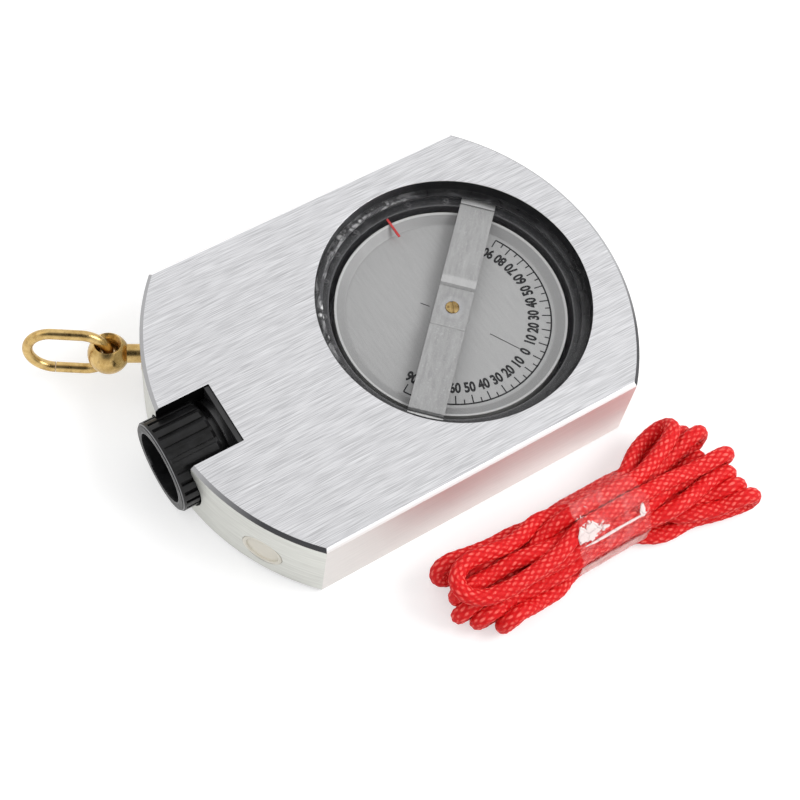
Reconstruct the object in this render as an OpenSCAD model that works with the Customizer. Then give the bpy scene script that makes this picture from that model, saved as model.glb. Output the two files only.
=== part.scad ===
// Pocket clinometer: a flat aluminium body with a sealed, liquid-damped scale wheel,
// a focusing eyepiece in one end, a lanyard swivel beside it and a hanked lanyard cord.
// Frame: millimetres, origin in the middle of the back face, +X along the body towards
// the dial end, +Y towards the swivel's side, +Z out of the dial.

/* [Body] */
// Diameter of the round bar that the two ends are turned from
disc_d = 75; // [70:0.5:95]
// Width across the two flat long sides
body_w = 52; // [48:0.5:64]
// Thickness of the body
body_t = 15; // [14.5:0.1:18]
// Chamfer on the outer edges of both faces
edge_chamfer = 0.55; // [0.2:0.05:1]

/* [Capsule] */
// Distance from the middle of the body to the wheel's pivot
pivot_x = 11.1; // [9:0.1:13]
// Diameter of the bore that holds the capsule
capsule_d = 42.5; // [35.4:0.1:44]
// Metal left under the capsule bore
floor_t = 2; // [1.2:0.1:2.6]
// Depth of the window below the face of the body
window_recess = 0.4; // [0.1:0.05:0.8]
// Thickness of the clear window
lid_t = 1.7; // [1:0.1:2]
// Thickness of the black seal under the window
seal_t = 0.3; // [0.2:0.05:0.5]
// Width of the black seal
seal_w = 1.3; // [0.8:0.1:2]
// Thickness of the clear cup's side wall
cup_wall = 0.6; // [0.4:0.05:1]
// Thickness of the clear cup's floor
cup_floor_t = 1; // [0.6:0.1:1.2]
// Thickness of the black liner's wall
liner_wall = 1.65; // [1:0.05:2]
// Gap between pieces that are pushed or glued together
fit_gap = 0.05; // [0.02:0.01:0.1]

/* [Bridges] */
// Width of the bridge strips
bridge_w = 5.5; // [4:0.1:7]
// Thickness of the bridge strips
bridge_t = 0.5; // [0.3:0.05:0.7]
// Angle of the strips from the body's length
bridge_angle = 45; // [0:5:90]
// Depth of the front strip's bent ends and dished middle
bridge_dish = 0.4; // [0.2:0.05:0.6]
// Length of each bent end
bridge_tab = 1.3; // [0.8:0.1:2]
// Half the length of the dished middle
dish_half = 3.5; // [2.5:0.1:5]

/* [Wheel] */
// Running space between the wheel and the liner
wheel_gap = 0.85; // [0.5:0.05:1.5]
// Thickness of the wheel's disc and skirt
wheel_wall = 0.5; // [0.3:0.05:0.8]
// Depth of the dial below the wheel's rim
dial_depth = 0.9; // [0.5:0.1:1.4]
// Width of the sloping band inside the rim
dial_slope = 1.5; // [0.8:0.1:2.5]
// Diameter of the raised boss round the pivot
boss_d = 6.2; // [4:0.1:8]
// Direction of the scale's zero mark
zero_angle = -60; // [-180:5:180]
// Diameter of the pivot shaft
shaft_d = 1.2; // [0.8:0.1:1.6]
// Diameter of the shaft's two fine tips
tip_d = 0.5; // [0.3:0.05:0.6]
// Running clearance of each tip in its jewel, all round
tip_clear = 0.05; // [0.02:0.01:0.1]
// Diameter of the jewels
jewel_d = 1.2; // [1:0.1:1.4]
// Diameter of the front bearing screw
front_screw_d = 2.1; // [1.8:0.1:3]
// Diameter of the rear bearing screw
rear_screw_d = 2.8; // [2.2:0.1:4]
// Thickness of the balance weight
weight_t = 1.8; // [1:0.1:3]
// Half the angle that the balance weight spans
weight_half = 38; // [20:1:60]
// Length of the red index line
index_len = 3.7; // [2:0.1:4.5]
// Width of the red index line
index_w = 0.35; // [0.2:0.05:0.6]

/* [Eyepiece] */
// Width of the slot in the end of the body
slot_w = 10.4; // [9:0.1:12]
// Depth of the slot, from the end of the body
slot_depth = 9.05; // [8.8:0.05:11]
// Outer diameter of the focusing ring
ring_d = 14.4; // [12:0.1:14.4]
// Length of the focusing ring
ring_len = 8.3; // [8:0.1:9]
// How far the ring stands out of the end at rest
ring_proud = 2; // [1.5:0.1:3]
// Number of grip ribs
rib_count = 24; // [12:1:30]
// Depth of the grooves between the ribs
rib_depth = 0.45; // [0.2:0.05:0.6]
// Width of the grooves between the ribs
rib_groove = 0.7; // [0.4:0.05:1]
// Room between the ring and the bore round it
ring_room = 0.25; // [0.15:0.05:0.3]
// Thickness of the ring's wall round the eyecup, ribs included
ring_wall = 1.55; // [1.4:0.05:1.7]
// Depth of the eyecup down to the ring's inner shoulder
eyecup_depth = 4.3; // [4:0.1:4.6]
// Step from the eyecup's wall in to the barrel that the ring runs on
eyecup_step = 0.65; // [0.5:0.05:0.8]
// Thickness of the barrel's wall
barrel_wall = 0.8; // [0.7:0.05:0.9]
// Running clearance of the ring and the lens cell, all round
run_clear = 0.05; // [0.02:0.01:0.1]
// Thickness of the lens cell's wall round the lens
cell_wall = 0.25; // [0.2:0.05:0.4]
// Focusing travel each way
focus_travel = 1; // [0.5:0.1:1]
// Thickness of the eyepiece lens at its centre
lens_t = 2.5; // [1.8:0.1:2.6]
// Bulge of each face of the lens
lens_bulge = 0.5; // [0.2:0.05:0.6]
// Length of the bushing's spigot inside the body
spigot_len = 7; // [5:0.1:9]
// Thickness of the spigot's wall
spigot_wall = 1.4; // [0.8:0.1:1.6]
// Thickness of the bushing's square flange
flange_t = 0.8; // [0.5:0.1:1]
// Width of the lens's edge that the sight bore leaves covered
sight_margin = 1.05; // [0.8:0.05:1.5]

/* [Swivel and plug] */
// Angle of the swivel and of the plug from the eyepiece, round the end of the body
side_angle = 29; // [26:0.5:31]
// Distance from the end of the body to the centre of the swivel's ball
ball_reach = 4.9; // [4.5:0.1:6]
// Diameter of the swivel's ball
ball_d = 6.3; // [5.8:0.1:6.6]
// Diameter of the swivel's stem
stem_d = 2.9; // [2.4:0.1:3.2]
// Running clearance of the stem in its bushing, all round
stem_clear = 0.05; // [0.02:0.01:0.1]
// Outer diameter of the swivel's bushing
swivel_bush_d = 5.2; // [4.6:0.1:5.6]
// Length of the swivel's bushing
swivel_bush_len = 6; // [4:0.1:7]
// Tilt of the ball's cross hole away from upright
hole_tilt = 10; // [0:1:90]
// Diameter of the lanyard ring's wire
wire_d = 1.6; // [1.2:0.1:1.8]
// Half the width of the lanyard ring, to the middle of the wire
link_half = 3.9; // [3.7:0.1:5]
// Length of the lanyard ring's straight sides
link_side = 4.3; // [2:0.1:8]
// Swing of the lanyard ring from straight out
link_swing = 4; // [0:1:10]
// Diameter of the white plug's head
plug_d = 6.6; // [5.5:0.1:7]
// Diameter of the plug's shank
plug_shank_d = 4.6; // [3.8:0.1:5]
// Height of the plug above the back face
plug_z = 6; // [5:0.1:8]
// Diameter of the set screw behind the plug
set_screw_d = 3; // [2.5:0.1:3.2]
// Length of the set screw
set_screw_len = 5; // [3:0.1:8]

/* [Back plate] */
// Length of the printed plate on the back
plate_l = 30; // [20:1:32]
// Width of the printed plate on the back
plate_w = 34; // [20:1:36]
// Thickness of the printed plate
plate_t = 0.3; // [0.2:0.05:0.5]
// Distance from the middle of the body to the plate's near edge
plate_x = 2; // [1:0.5:4]

/* [Cord] */
// Diameter of the lanyard cord
cord_d = 2.5; // [2:0.1:3]
// Gap between neighbouring strands at the waist of the hank
strand_gap = 0.45; // [0.45:0.05:0.8]
// Half the length of the hank's long loops
hank_half = 25; // [20:1:30]
// Gap between the bends of one loop and of the loop a step wider
nest_gap = 1.5; // [1.5:0.1:2.5]
// Share by which the strands spread from the waist to the ends
hank_swell = 0.7; // [0.7:0.05:1]
// Half the gap that the tightest folds leave between their own strands
fold_gap = 0.35; // [0.35:0.05:0.75]
// Middle of the hank along the body
hank_x = 13.2; // [10:0.1:16]
// Room between the body's side and the hank
hank_room = 4.3; // [2:0.1:10]
// Length of the clear tape round the waist
tape_len = 10.5; // [6:0.5:14]
// Thickness of the clear tape
tape_t = 0.3; // [0.2:0.05:0.4]

/* [Hidden] */
$fn = 96;
eps = 0.01;

aluminium = [0.82, 0.83, 0.84];
strip_grey = [0.70, 0.71, 0.71];
dial_grey = [0.66, 0.66, 0.65];
black = [0.06, 0.06, 0.065];
brass = [0.83, 0.68, 0.36];
steel = [0.60, 0.61, 0.63];
clear = [0.85, 0.92, 0.93, 0.3];
cream = [0.93, 0.92, 0.86];
red = [0.88, 0.10, 0.12];
ruby = [0.75, 0.12, 0.25];

// Small gaps: between pressed pieces, and where two ends stop short of each other
press_gap = 0.02;
end_gap = 0.1;
// Overrun of a cut past the face that it opens
over = 1;

// Heights in the capsule: the window is set from the face, the cup from the floor
strip_room = 0.2;
index_drop = 0.45;
index_room = 0.15;
rim_w = 0.25;
skirt_room = 1.1;
body_r = disc_d / 2;
bore_r = capsule_d / 2;
window_top = body_t - window_recess;
window_z = window_top - lid_t;
cup_top = window_z - seal_t;
cup_r = bore_r - fit_gap;
cup_floor_z = floor_t + cup_floor_t;
liner_r = cup_r - cup_wall - fit_gap;
liner_in = liner_r - liner_wall;
bridge_z = cup_top - strip_room - bridge_t;
liner_top = bridge_z - bridge_dish;
index_t = 0.2;
index_z = liner_top - index_drop;
wheel_top = index_z - index_room;
wheel_r = liner_in - wheel_gap;
dial_z = wheel_top - dial_depth;
disc_z = dial_z - wheel_wall;
dial_r = wheel_r - rim_w - dial_slope;
rear_bridge_top = cup_floor_z + bridge_t;
wheel_z = rear_bridge_top + skirt_room;

// Bearings
front_screw_drop = 0.4;
front_screw_proud = 0.15;
front_screw_z = liner_top - front_screw_drop;
front_screw_top = liner_top + bridge_t + front_screw_proud;
jewel_t = 0.6;
jewel_pit = 0.45;
tip_end = 0.05;
socket_wall = 0.4;
rear_head_t = 0.8;
rear_screw_top = rear_bridge_top + rear_head_t;
shaft_z = rear_screw_top + end_gap;
shaft_top = front_screw_z - end_gap;
tip_len = end_gap + jewel_pit - tip_end;
shaft_hole_r = shaft_d / 2 + press_gap;
jewel_seat_r = jewel_d / 2 + press_gap;

// Eyepiece: every place is a distance along X, every radius steps in from the ring's
eye_z = body_t / 2;
end_x = -body_r;
slot_x = end_x + slot_depth;
ring_r = ring_d / 2;
ring_bore_r = ring_r + ring_room;
ring_face = end_x - ring_proud;
ring_inner = ring_face + ring_len;
flange_x = slot_x - flange_t;
shoulder_x = ring_inner + focus_travel + end_gap;
shoulder_step = 0.9;
shoulder_r = ring_r - shoulder_step;
eyecup_r = ring_r - ring_wall;
barrel_r = eyecup_r - eyecup_step;
barrel_bore_r = barrel_r - barrel_wall;
cell_r = barrel_bore_r - run_clear;
lens_r = cell_r - cell_wall - fit_gap;
sight_r = lens_r - sight_margin;
bore_step = 0.4;
spigot_bore_r = sight_r + bore_step;
spigot_r = spigot_bore_r + spigot_wall;
ring_shoulder = ring_face + eyecup_depth;
barrel_end = ring_shoulder + focus_travel + end_gap;
cell_flange_t = 0.7;
cell_flange_r = eyecup_r - run_clear;
cell_face = ring_shoulder - cell_flange_t;
cell_reach = 3.8;
cell_inner = barrel_end + cell_reach;
cell_stop = cell_inner + focus_travel + 2 * end_gap;
lens_sink = 0.8;
lens_face = cell_face + lens_sink;
snap_t = 0.3;
snap_bite = 0.25;
key_inset = 0.6;
key_x = ring_inner - key_inset;
key_d = 0.8;
key_z = lens_r + fit_gap;
groove_inset = 0.5;
groove_x = barrel_end + groove_inset;
groove_w = 0.7;
groove_depth = 0.45;
window_w = 7;
window_h = 6;

// Swivel and plug, each along its own radius of the round end
swivel_angle = 180 - side_angle;
plug_angle = 180 + side_angle;
ball_x = body_r + ball_reach;
ball_r = ball_d / 2;
stem_r = stem_d / 2;
bush_end = body_r - fit_gap;
bush_start = bush_end - swivel_bush_len;
clip_t = 0.5;
clip_bite = 0.35;
clip_reach = 0.75;
clip_x = bush_start - end_gap - clip_t;
stem_start = clip_x - clip_t;
wire_r = wire_d / 2;
wire_room = 0.2;
link_seam = 0.15;
plug_head_t = 1.1;
plug_dish = 0.25;
plug_rim = 0.6;
plug_shank_len = 3;
plug_face = body_r - fit_gap;
plug_shank_x = plug_face - plug_head_t - plug_shank_len;
plug_room = 1;
tool_bore_r = set_screw_d / 2 + fit_gap;
set_screw_gap = 1.3;
// Where the plug's radius meets the capsule's bore
bore_meet = sqrt(pow(bore_r, 2) - pow(pivot_x * sin(side_angle), 2)) - pivot_x * cos(side_angle);

// Hank: eight loops in four layers, wound in and out again
loop_count = 8;
rings_per_loop = 24;
cord_sides = 6;
run_places = [1.75, 1.25, 0.75, 0.25, 0.25, 0.75, 1.25, 1.75];
bend_power = 0.45;
tape_room = 0.12;
cord_step = cord_d + strand_gap;
hank_nest = cord_d + nest_gap;
hank_fold = cord_d / 2 + fold_gap;

// Distance of a strand from the middle of the hank where the turn has come to angle a
function strand_y(place, a) =
    (place * cord_step * (1 + hank_swell * pow(cos(a), 2)) + hank_fold * pow(cos(a), 2))
        * pow(abs(sin(a)), bend_power);

hank_half_w = max([for (a = [0:90]) strand_y(run_places[0], a)]);
hank_y = -body_w / 2 - hank_room - hank_half_w - cord_d / 2;
hank_z = tape_t + tape_room + cord_d / 2;

// A chamfered disc of radius r and thickness t, as a turned profile
module turned_slab(r, t, c) {
    rotate_extrude()
        polygon([[0, 0], [r - c, 0], [r, c], [r, t - c], [r - c, t], [0, t]]);
}

// A chamfered bar along X, w wide and t thick
module bar_slab(l, w, t, c) {
    translate([-l / 2, 0, 0])
        rotate([90, 0, 90])
            linear_extrude(l)
                polygon([[-w / 2 + c, 0], [w / 2 - c, 0], [w / 2, c], [w / 2, t - c],
                    [w / 2 - c, t], [-w / 2 + c, t], [-w / 2, t - c], [-w / 2, c]]);
}

// A round bar along +X from x0 to x1
module rod_x(x0, x1, r) {
    translate([x0, 0, 0])
        rotate([0, 90, 0])
            cylinder(r = r, h = x1 - x0);
}

// A tube along +X from x0 to x1
module tube_x(x0, x1, r_out, r_in) {
    difference() {
        rod_x(x0, x1, r_out);
        rod_x(x0 - over, x1 + over, r_in);
    }
}

// Places its children, drawn round the X axis, on the eyepiece's axis
module on_eye_axis() {
    translate([0, 0, eye_z])
        children();
}

// Places its children, drawn along +X, on a radius of the body at this angle and height
module on_radius(angle, z) {
    rotate([0, 0, angle])
        translate([0, 0, z])
            children();
}

module at_pivot() {
    translate([pivot_x, 0, 0])
        children();
}

module body_block() {
    color(aluminium)
        difference() {
            intersection() {
                turned_slab(body_r, body_t, edge_chamfer);
                bar_slab(disc_d + 2 * over, body_w, body_t, edge_chamfer);
            }
            at_pivot()
                translate([0, 0, floor_t])
                    cylinder(r = bore_r, h = body_t);
            translate([plate_x - fit_gap, -plate_w / 2 - fit_gap, -over])
                cube([plate_l + 2 * fit_gap, plate_w + 2 * fit_gap, plate_t + over]);
            translate([end_x - over, -slot_w / 2, -over])
                cube([slot_depth + over, slot_w, body_t + 2 * over]);
            on_eye_axis() {
                rod_x(end_x - over, slot_x, ring_bore_r);
                rod_x(slot_x - over, slot_x + spigot_len + fit_gap, spigot_r + fit_gap);
                rod_x(slot_x, pivot_x - bore_r + over, sight_r);
            }
            on_radius(swivel_angle, eye_z)
                rod_x(stem_start - clip_t, body_r + over, swivel_bush_d / 2 + fit_gap);
            on_radius(plug_angle, plug_z) {
                rod_x(plug_face - plug_head_t, body_r + over, plug_d / 2 + fit_gap);
                rod_x(plug_shank_x - plug_room, body_r, plug_shank_d / 2 + fit_gap);
                rod_x(0, body_r, tool_bore_r);
            }
        }
}

module rear_plate() {
    color(strip_grey)
        translate([plate_x, -plate_w / 2, 0])
            cube([plate_l, plate_w, plate_t]);
}

module capsule_cup() {
    color(clear)
        at_pivot()
            difference() {
                translate([0, 0, floor_t])
                    cylinder(r = cup_r, h = cup_top - floor_t);
                translate([0, 0, cup_floor_z])
                    cylinder(r = cup_r - cup_wall, h = body_t);
            }
}

// The liner's rim carries small moulded pips at uneven bearings
module capsule_liner() {
    pip_angles = [60, 78, 107, 122, 137, 155, 171, 196];
    pip_r = 0.4;
    pip_t = 0.3;
    color(black)
        at_pivot() {
            difference() {
                translate([0, 0, cup_floor_z])
                    cylinder(r = liner_r, h = liner_top - cup_floor_z);
                translate([0, 0, cup_floor_z - over])
                    cylinder(r = liner_in, h = body_t);
                translate([-liner_r - over, -window_w / 2, eye_z - window_h / 2])
                    cube([liner_wall + 2 * over, window_w, window_h]);
            }
            for (a = pip_angles)
                rotate([0, 0, a])
                    translate([liner_in + liner_wall / 2, 0, liner_top - eps])
                        cylinder(r = pip_r, h = pip_t + eps, $fn = 24);
        }
}

module capsule_seal() {
    color(black)
        at_pivot()
            translate([0, 0, cup_top])
                difference() {
                    cylinder(r = cup_r, h = seal_t);
                    translate([0, 0, -over])
                        cylinder(r = cup_r - seal_w, h = seal_t + 2 * over);
                }
}

module capsule_window() {
    edge = 0.2;
    color(clear)
        at_pivot()
            translate([0, 0, window_z])
                turned_slab(cup_r, lid_t, edge);
}

module index_line() {
    color(red)
        at_pivot()
            translate([-index_w / 2, liner_in - index_len, index_z])
                cube([index_w, index_len - eps, index_t]);
}

module hairline_plate() {
    inset = 0.3;
    thickness = 0.7;
    color(clear)
        translate([pivot_x - liner_r + inset, -window_w / 2 + fit_gap, eye_z - window_h / 2 + fit_gap])
            cube([thickness, window_w - 2 * fit_gap, window_h - 2 * fit_gap]);
}

// Side outline of the front strip: bent ends, straight arms and a dished middle
module bridge_side() {
    l = sqrt(pow(liner_r, 2) - pow(bridge_w / 2, 2)) - fit_gap;
    bend = bridge_dish;
    top = [[-l, 0], [-l + bridge_tab, 0], [-l + bridge_tab + bend, bend], [-dish_half - bend, bend],
        [-dish_half, 0], [dish_half, 0], [dish_half + bend, bend], [l - bridge_tab - bend, bend],
        [l - bridge_tab, 0], [l, 0]];
    polygon(concat(top, [for (i = [len(top) - 1:-1:0]) top[i] + [0, bridge_t]]));
}

module front_bridge() {
    color(strip_grey)
        at_pivot()
            difference() {
                rotate([0, 0, bridge_angle])
                    translate([0, bridge_w / 2, liner_top])
                        rotate([90, 0, 0])
                            linear_extrude(bridge_w)
                                bridge_side();
                translate([0, 0, liner_top - over])
                    cylinder(r = front_screw_d / 2 + press_gap, h = body_t);
            }
}

module rear_bridge() {
    half = sqrt(pow(liner_in, 2) - pow(bridge_w / 2, 2)) - end_gap;
    color(strip_grey)
        at_pivot()
            difference() {
                rotate([0, 0, bridge_angle])
                    translate([-half, -bridge_w / 2, cup_floor_z])
                        cube([2 * half, bridge_w, bridge_t]);
                translate([0, 0, cup_floor_z - over])
                    cylinder(r = jewel_d / 2 + socket_wall, h = body_t);
            }
}

module front_bearing_screw() {
    driver_w = 0.3;
    driver_depth = 0.25;
    driver_turn = 20;
    color(brass)
        at_pivot()
            difference() {
                translate([0, 0, front_screw_z])
                    cylinder(r = front_screw_d / 2, h = front_screw_top - front_screw_z);
                translate([0, 0, front_screw_z - over])
                    cylinder(r = jewel_seat_r, h = jewel_t + over);
                rotate([0, 0, bridge_angle + driver_turn])
                    translate([-front_screw_d, -driver_w / 2, front_screw_top - driver_depth])
                        cube([2 * front_screw_d, driver_w, over]);
            }
}

module rear_bearing_screw() {
    color(brass)
        at_pivot()
            difference() {
                union() {
                    translate([0, 0, rear_bridge_top])
                        cylinder(r = rear_screw_d / 2, h = rear_head_t);
                    translate([0, 0, cup_floor_z])
                        cylinder(r = jewel_d / 2 + socket_wall - press_gap, h = bridge_t + eps);
                }
                translate([0, 0, rear_screw_top - jewel_t])
                    cylinder(r = jewel_seat_r, h = jewel_t + over);
            }
}

// A jewel from z upwards, with its pit open at the top or at the bottom
module jewel(z, pit_up) {
    color(ruby)
        at_pivot()
            translate([0, 0, z])
                difference() {
                    cylinder(r = jewel_d / 2, h = jewel_t);
                    translate([0, 0, pit_up ? jewel_t - jewel_pit : -over])
                        cylinder(r = tip_d / 2 + tip_clear, h = jewel_pit + over);
                }
}

module front_jewel() {
    jewel(front_screw_z, false);
}

module rear_jewel() {
    jewel(rear_screw_top - jewel_t, true);
}

module pivot_shaft() {
    color(steel)
        at_pivot() {
            translate([0, 0, shaft_z])
                cylinder(r = shaft_d / 2, h = shaft_top - shaft_z);
            translate([0, 0, shaft_z - tip_len])
                cylinder(r = tip_d / 2, h = shaft_top - shaft_z + 2 * tip_len);
        }
}

module wheel_hub() {
    hub_t = 1.5;
    hub_wall = 1;
    color(brass)
        at_pivot()
            translate([0, 0, disc_z - hub_t])
                difference() {
                    cylinder(r = shaft_d / 2 + hub_wall, h = hub_t);
                    translate([0, 0, -over])
                        cylinder(r = shaft_hole_r, h = hub_t + 2 * over);
                }
}

module scale_wheel() {
    boss_t = 0.25;
    skirt_in = wheel_r - wheel_wall;
    skirt_drop = 0.6;
    skirt_top = wheel_top - skirt_drop;
    lip = 0.1;
    color(dial_grey)
        at_pivot()
            rotate_extrude()
                polygon([[shaft_hole_r, disc_z], [dial_r, disc_z], [skirt_in, skirt_top], [skirt_in, wheel_z],
                    [wheel_r, wheel_z], [wheel_r, wheel_top], [wheel_r - rim_w, wheel_top],
                    [wheel_r - rim_w - lip, wheel_top - lip], [dial_r, dial_z], [boss_d / 2, dial_z],
                    [boss_d / 2, dial_z + boss_t], [shaft_hole_r, dial_z + boss_t]]);
}

module wheel_weight() {
    width = 4.2;
    color(brass)
        at_pivot()
            rotate([0, 0, zero_angle + 180 - weight_half])
                translate([0, 0, disc_z - weight_t])
                    rotate_extrude(angle = 2 * weight_half)
                        translate([dial_r - width - end_gap, 0])
                            square([width, weight_t]);
}

// Square flange, shoulder, barrel and spigot in one turned and milled piece
module eyepiece_bushing() {
    inset = 0.3;
    color(black)
        on_eye_axis()
            difference() {
                union() {
                    translate([flange_x, -slot_w / 2 + fit_gap, -body_t / 2 + inset])
                        cube([flange_t, slot_w - 2 * fit_gap, body_t - 2 * inset]);
                    rod_x(shoulder_x, slot_x, shoulder_r);
                    rod_x(barrel_end, slot_x, barrel_r);
                    rod_x(slot_x - flange_t, slot_x + spigot_len, spigot_r);
                }
                rod_x(barrel_end - over, cell_stop, barrel_bore_r);
                rod_x(barrel_end, slot_x + spigot_len + over, spigot_bore_r);
                tube_x(groove_x, groove_x + groove_w, barrel_r + over, barrel_r - groove_depth);
                translate([key_x, 0, 0])
                    cylinder(r = key_d / 2 + press_gap, h = barrel_r + over);
            }
}

module eyepiece_seal() {
    color(black)
        on_eye_axis()
            tube_x(groove_x + fit_gap, groove_x + groove_w - fit_gap,
                barrel_r, barrel_r - groove_depth + press_gap);
}

module cell_key_pin() {
    color(steel)
        on_eye_axis()
            translate([key_x, 0, key_z])
                cylinder(r = key_d / 2, h = barrel_r - fit_gap - key_z);
}

module lens_cell() {
    lip = 0.25;
    color(black)
        on_eye_axis()
            difference() {
                union() {
                    rod_x(cell_face, ring_shoulder, cell_flange_r);
                    rod_x(cell_face, cell_inner, cell_r);
                }
                rod_x(cell_face - over, lens_face + lens_t, lens_r + fit_gap);
                rod_x(cell_face, cell_inner + over, lens_r - lip);
                translate([key_x - focus_travel - key_d / 2 - end_gap, -key_d / 2 - run_clear, 0])
                    cube([cell_inner - cell_face + over, key_d + 2 * run_clear, 2 * cell_r]);
            }
}

// Lens with two bulging faces and a cylindrical edge, turned from half its outline
module eyepiece_lens() {
    face_r = (lens_r * lens_r + lens_bulge * lens_bulge) / (2 * lens_bulge);
    half_angle = asin(lens_r / face_r);
    steps = 6;
    front = [for (i = [0:steps]) let (a = half_angle * i / steps)
        [face_r * sin(a), lens_face + face_r * (1 - cos(a))]];
    back = [for (p = front) [p[0], 2 * lens_face + lens_t - p[1]]];
    color(clear)
        on_eye_axis()
            rotate([0, 90, 0])
                rotate_extrude()
                    polygon(concat(front, [for (i = [steps:-1:0]) back[i]]));
}

module lens_retainer() {
    width = 0.6;
    overlap = 0.3;
    color(black)
        on_eye_axis()
            tube_x(cell_face, lens_face + overlap, lens_r, lens_r - width);
}

module cell_snap_ring() {
    reach = 0.95;
    color(steel)
        on_eye_axis()
            tube_x(cell_face - snap_t, cell_face, eyecup_r + snap_bite - fit_gap, eyecup_r - reach);
}

module focus_ring() {
    shoulder = 0.6;
    edge = 0.35;
    ribs_start = 0.6;
    color(black)
        on_eye_axis()
            difference() {
                rotate([0, 90, 0])
                    rotate_extrude()
                        polygon([[0, ring_face], [ring_r - edge, ring_face], [ring_r, ring_face + edge],
                            [ring_r, ring_inner - shoulder], [ring_r - shoulder, ring_inner],
                            [0, ring_inner]]);
                rod_x(ring_face - over, ring_shoulder, eyecup_r);
                rod_x(ring_face, ring_inner + over, barrel_r + run_clear);
                rod_x(cell_face - snap_t - press_gap, cell_face + press_gap, eyecup_r + snap_bite);
                for (i = [0:rib_count - 1])
                    rotate([360 / rib_count * (i + 0.5), 0, 0])
                        translate([ring_face + ribs_start, -rib_groove / 2, ring_r - rib_depth])
                            cube([ring_len, rib_groove, rib_depth + over]);
            }
}

module end_plug() {
    color(cream)
        on_radius(plug_angle, plug_z)
            difference() {
                union() {
                    rod_x(plug_face - plug_head_t, plug_face, plug_d / 2);
                    rod_x(plug_shank_x, plug_face - plug_head_t / 2, plug_shank_d / 2);
                }
                rod_x(plug_face - plug_dish, plug_face + over, plug_d / 2 - plug_rim);
            }
}

// Screw with a thinner nose and a six-sided socket
module capsule_set_screw() {
    tip = bore_meet + set_screw_gap;
    nose_len = 0.6;
    nose_step = 0.7;
    socket_r = 0.8;
    socket_depth = 1.4;
    color(steel)
        on_radius(plug_angle, plug_z)
            difference() {
                union() {
                    rod_x(tip, tip + set_screw_len, set_screw_d / 2);
                    rod_x(tip - nose_len, tip + over, set_screw_d / 2 - nose_step);
                }
                translate([tip + set_screw_len - socket_depth, 0, 0])
                    rotate([0, 90, 0])
                        cylinder(r = socket_r, h = socket_depth + over, $fn = 6);
            }
}

module swivel_bushing() {
    color(brass)
        on_radius(swivel_angle, eye_z)
            tube_x(bush_start, bush_end, swivel_bush_d / 2, stem_r + stem_clear);
}

// How far the lanyard ring's wire has curved away from the hole's axis, at w along it
function link_curve(w) = link_half - sqrt(link_half * link_half - w * w);

// Waisted cross hole: just wide enough for the curved wire at every height
module waisted_hole() {
    steps = 6;
    reach = (ball_r + link_half) / 2;
    heights = [for (i = [0:steps]) reach * i / steps];
    radii = [for (w = heights)
        wire_room + link_curve(w) + wire_r * link_half / sqrt(pow(link_half, 2) - w * w)];
    rotate_extrude()
        polygon(concat([[0, -reach]],
            [for (i = [steps:-1:1]) [radii[i], -heights[i]]],
            [for (i = [0:steps]) [radii[i], heights[i]]],
            [[0, reach]]));
}

module swivel_eye() {
    color(brass)
        on_radius(swivel_angle, eye_z)
            difference() {
                union() {
                    rod_x(stem_start, ball_x, stem_r);
                    translate([ball_x, 0, 0])
                        sphere(r = ball_r);
                }
                translate([ball_x, 0, 0])
                    rotate([hole_tilt, 0, 0])
                        waisted_hole();
                tube_x(clip_x, clip_x + clip_t, stem_r + over, stem_r - clip_bite);
            }
}

module swivel_clip() {
    color(steel)
        on_radius(swivel_angle, eye_z)
            tube_x(clip_x + press_gap, clip_x + clip_t - press_gap,
                stem_r + clip_reach, stem_r - clip_bite + press_gap);
}

// Half a round bend of wire about the origin, swept in the plane of X and Z
module wire_bend() {
    rotate([90, 0, 0])
        rotate([0, 0, -90])
            rotate_extrude(angle = 180)
                translate([link_half, 0])
                    circle(r = wire_r);
}

module lanyard_ring() {
    color(brass)
        on_radius(swivel_angle, eye_z)
            translate([ball_x, 0, 0])
                rotate([hole_tilt, 0, 0])
                    rotate([0, 0, -link_swing])
                        difference() {
                            union() {
                                translate([link_half + link_side, 0, 0])
                                    wire_bend();
                                translate([link_half, 0, 0])
                                    rotate([0, 0, 180])
                                        wire_bend();
                                for (side = [-1, 1])
                                    translate([0, 0, side * link_half])
                                        rod_x(link_half - eps, link_half + link_side + eps, wire_r);
                            }
                            translate([link_half + link_side - link_seam, -wire_d, -link_half - wire_d])
                                cube([link_seam, 2 * wire_d, 2 * wire_d]);
                        }
}

// Smooth step from 0 to 1
function ease(x) = x <= 0 ? 0 : x >= 1 ? 1 : x * x * (3 - 2 * x);

// Height of the winding at turn s, in layers: a layer is climbed at every second turn
function layer_at(s) =
    let (climb = 0.2)
    ease((s - 2) / climb + 0.5) + ease((s - 4) / climb + 0.5) + ease((s - 6) / climb + 0.5);

// Steps from the middle of the hank to straight run k, wound in and out again
function run_place(k) = run_places[max(0, min(2 * loop_count - 1, k)) % len(run_places)];

// Reach of the bend nearest to turn s, which nests inside the bends of wider loops
function reach_at(s) =
    let (k = floor(2 * s + 0.5))
    hank_half - hank_nest * (run_places[0] - (run_place(k - 1) + run_place(k)) / 2);

// Middle of the cord at turn s of the hank
function hank_point(s) =
    let (a = 360 * s)
    [hank_x + reach_at(s) * cos(a),
        hank_y + sign(sin(a)) * strand_y(run_place(floor(2 * s)), a),
        hank_z + layer_at(s) * cord_step];

hank_start = 0.085;
hank_path = [for (i = [0:loop_count * rings_per_loop])
    hank_point(hank_start + (loop_count - 2 * hank_start) * i / (loop_count * rings_per_loop))];

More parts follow.
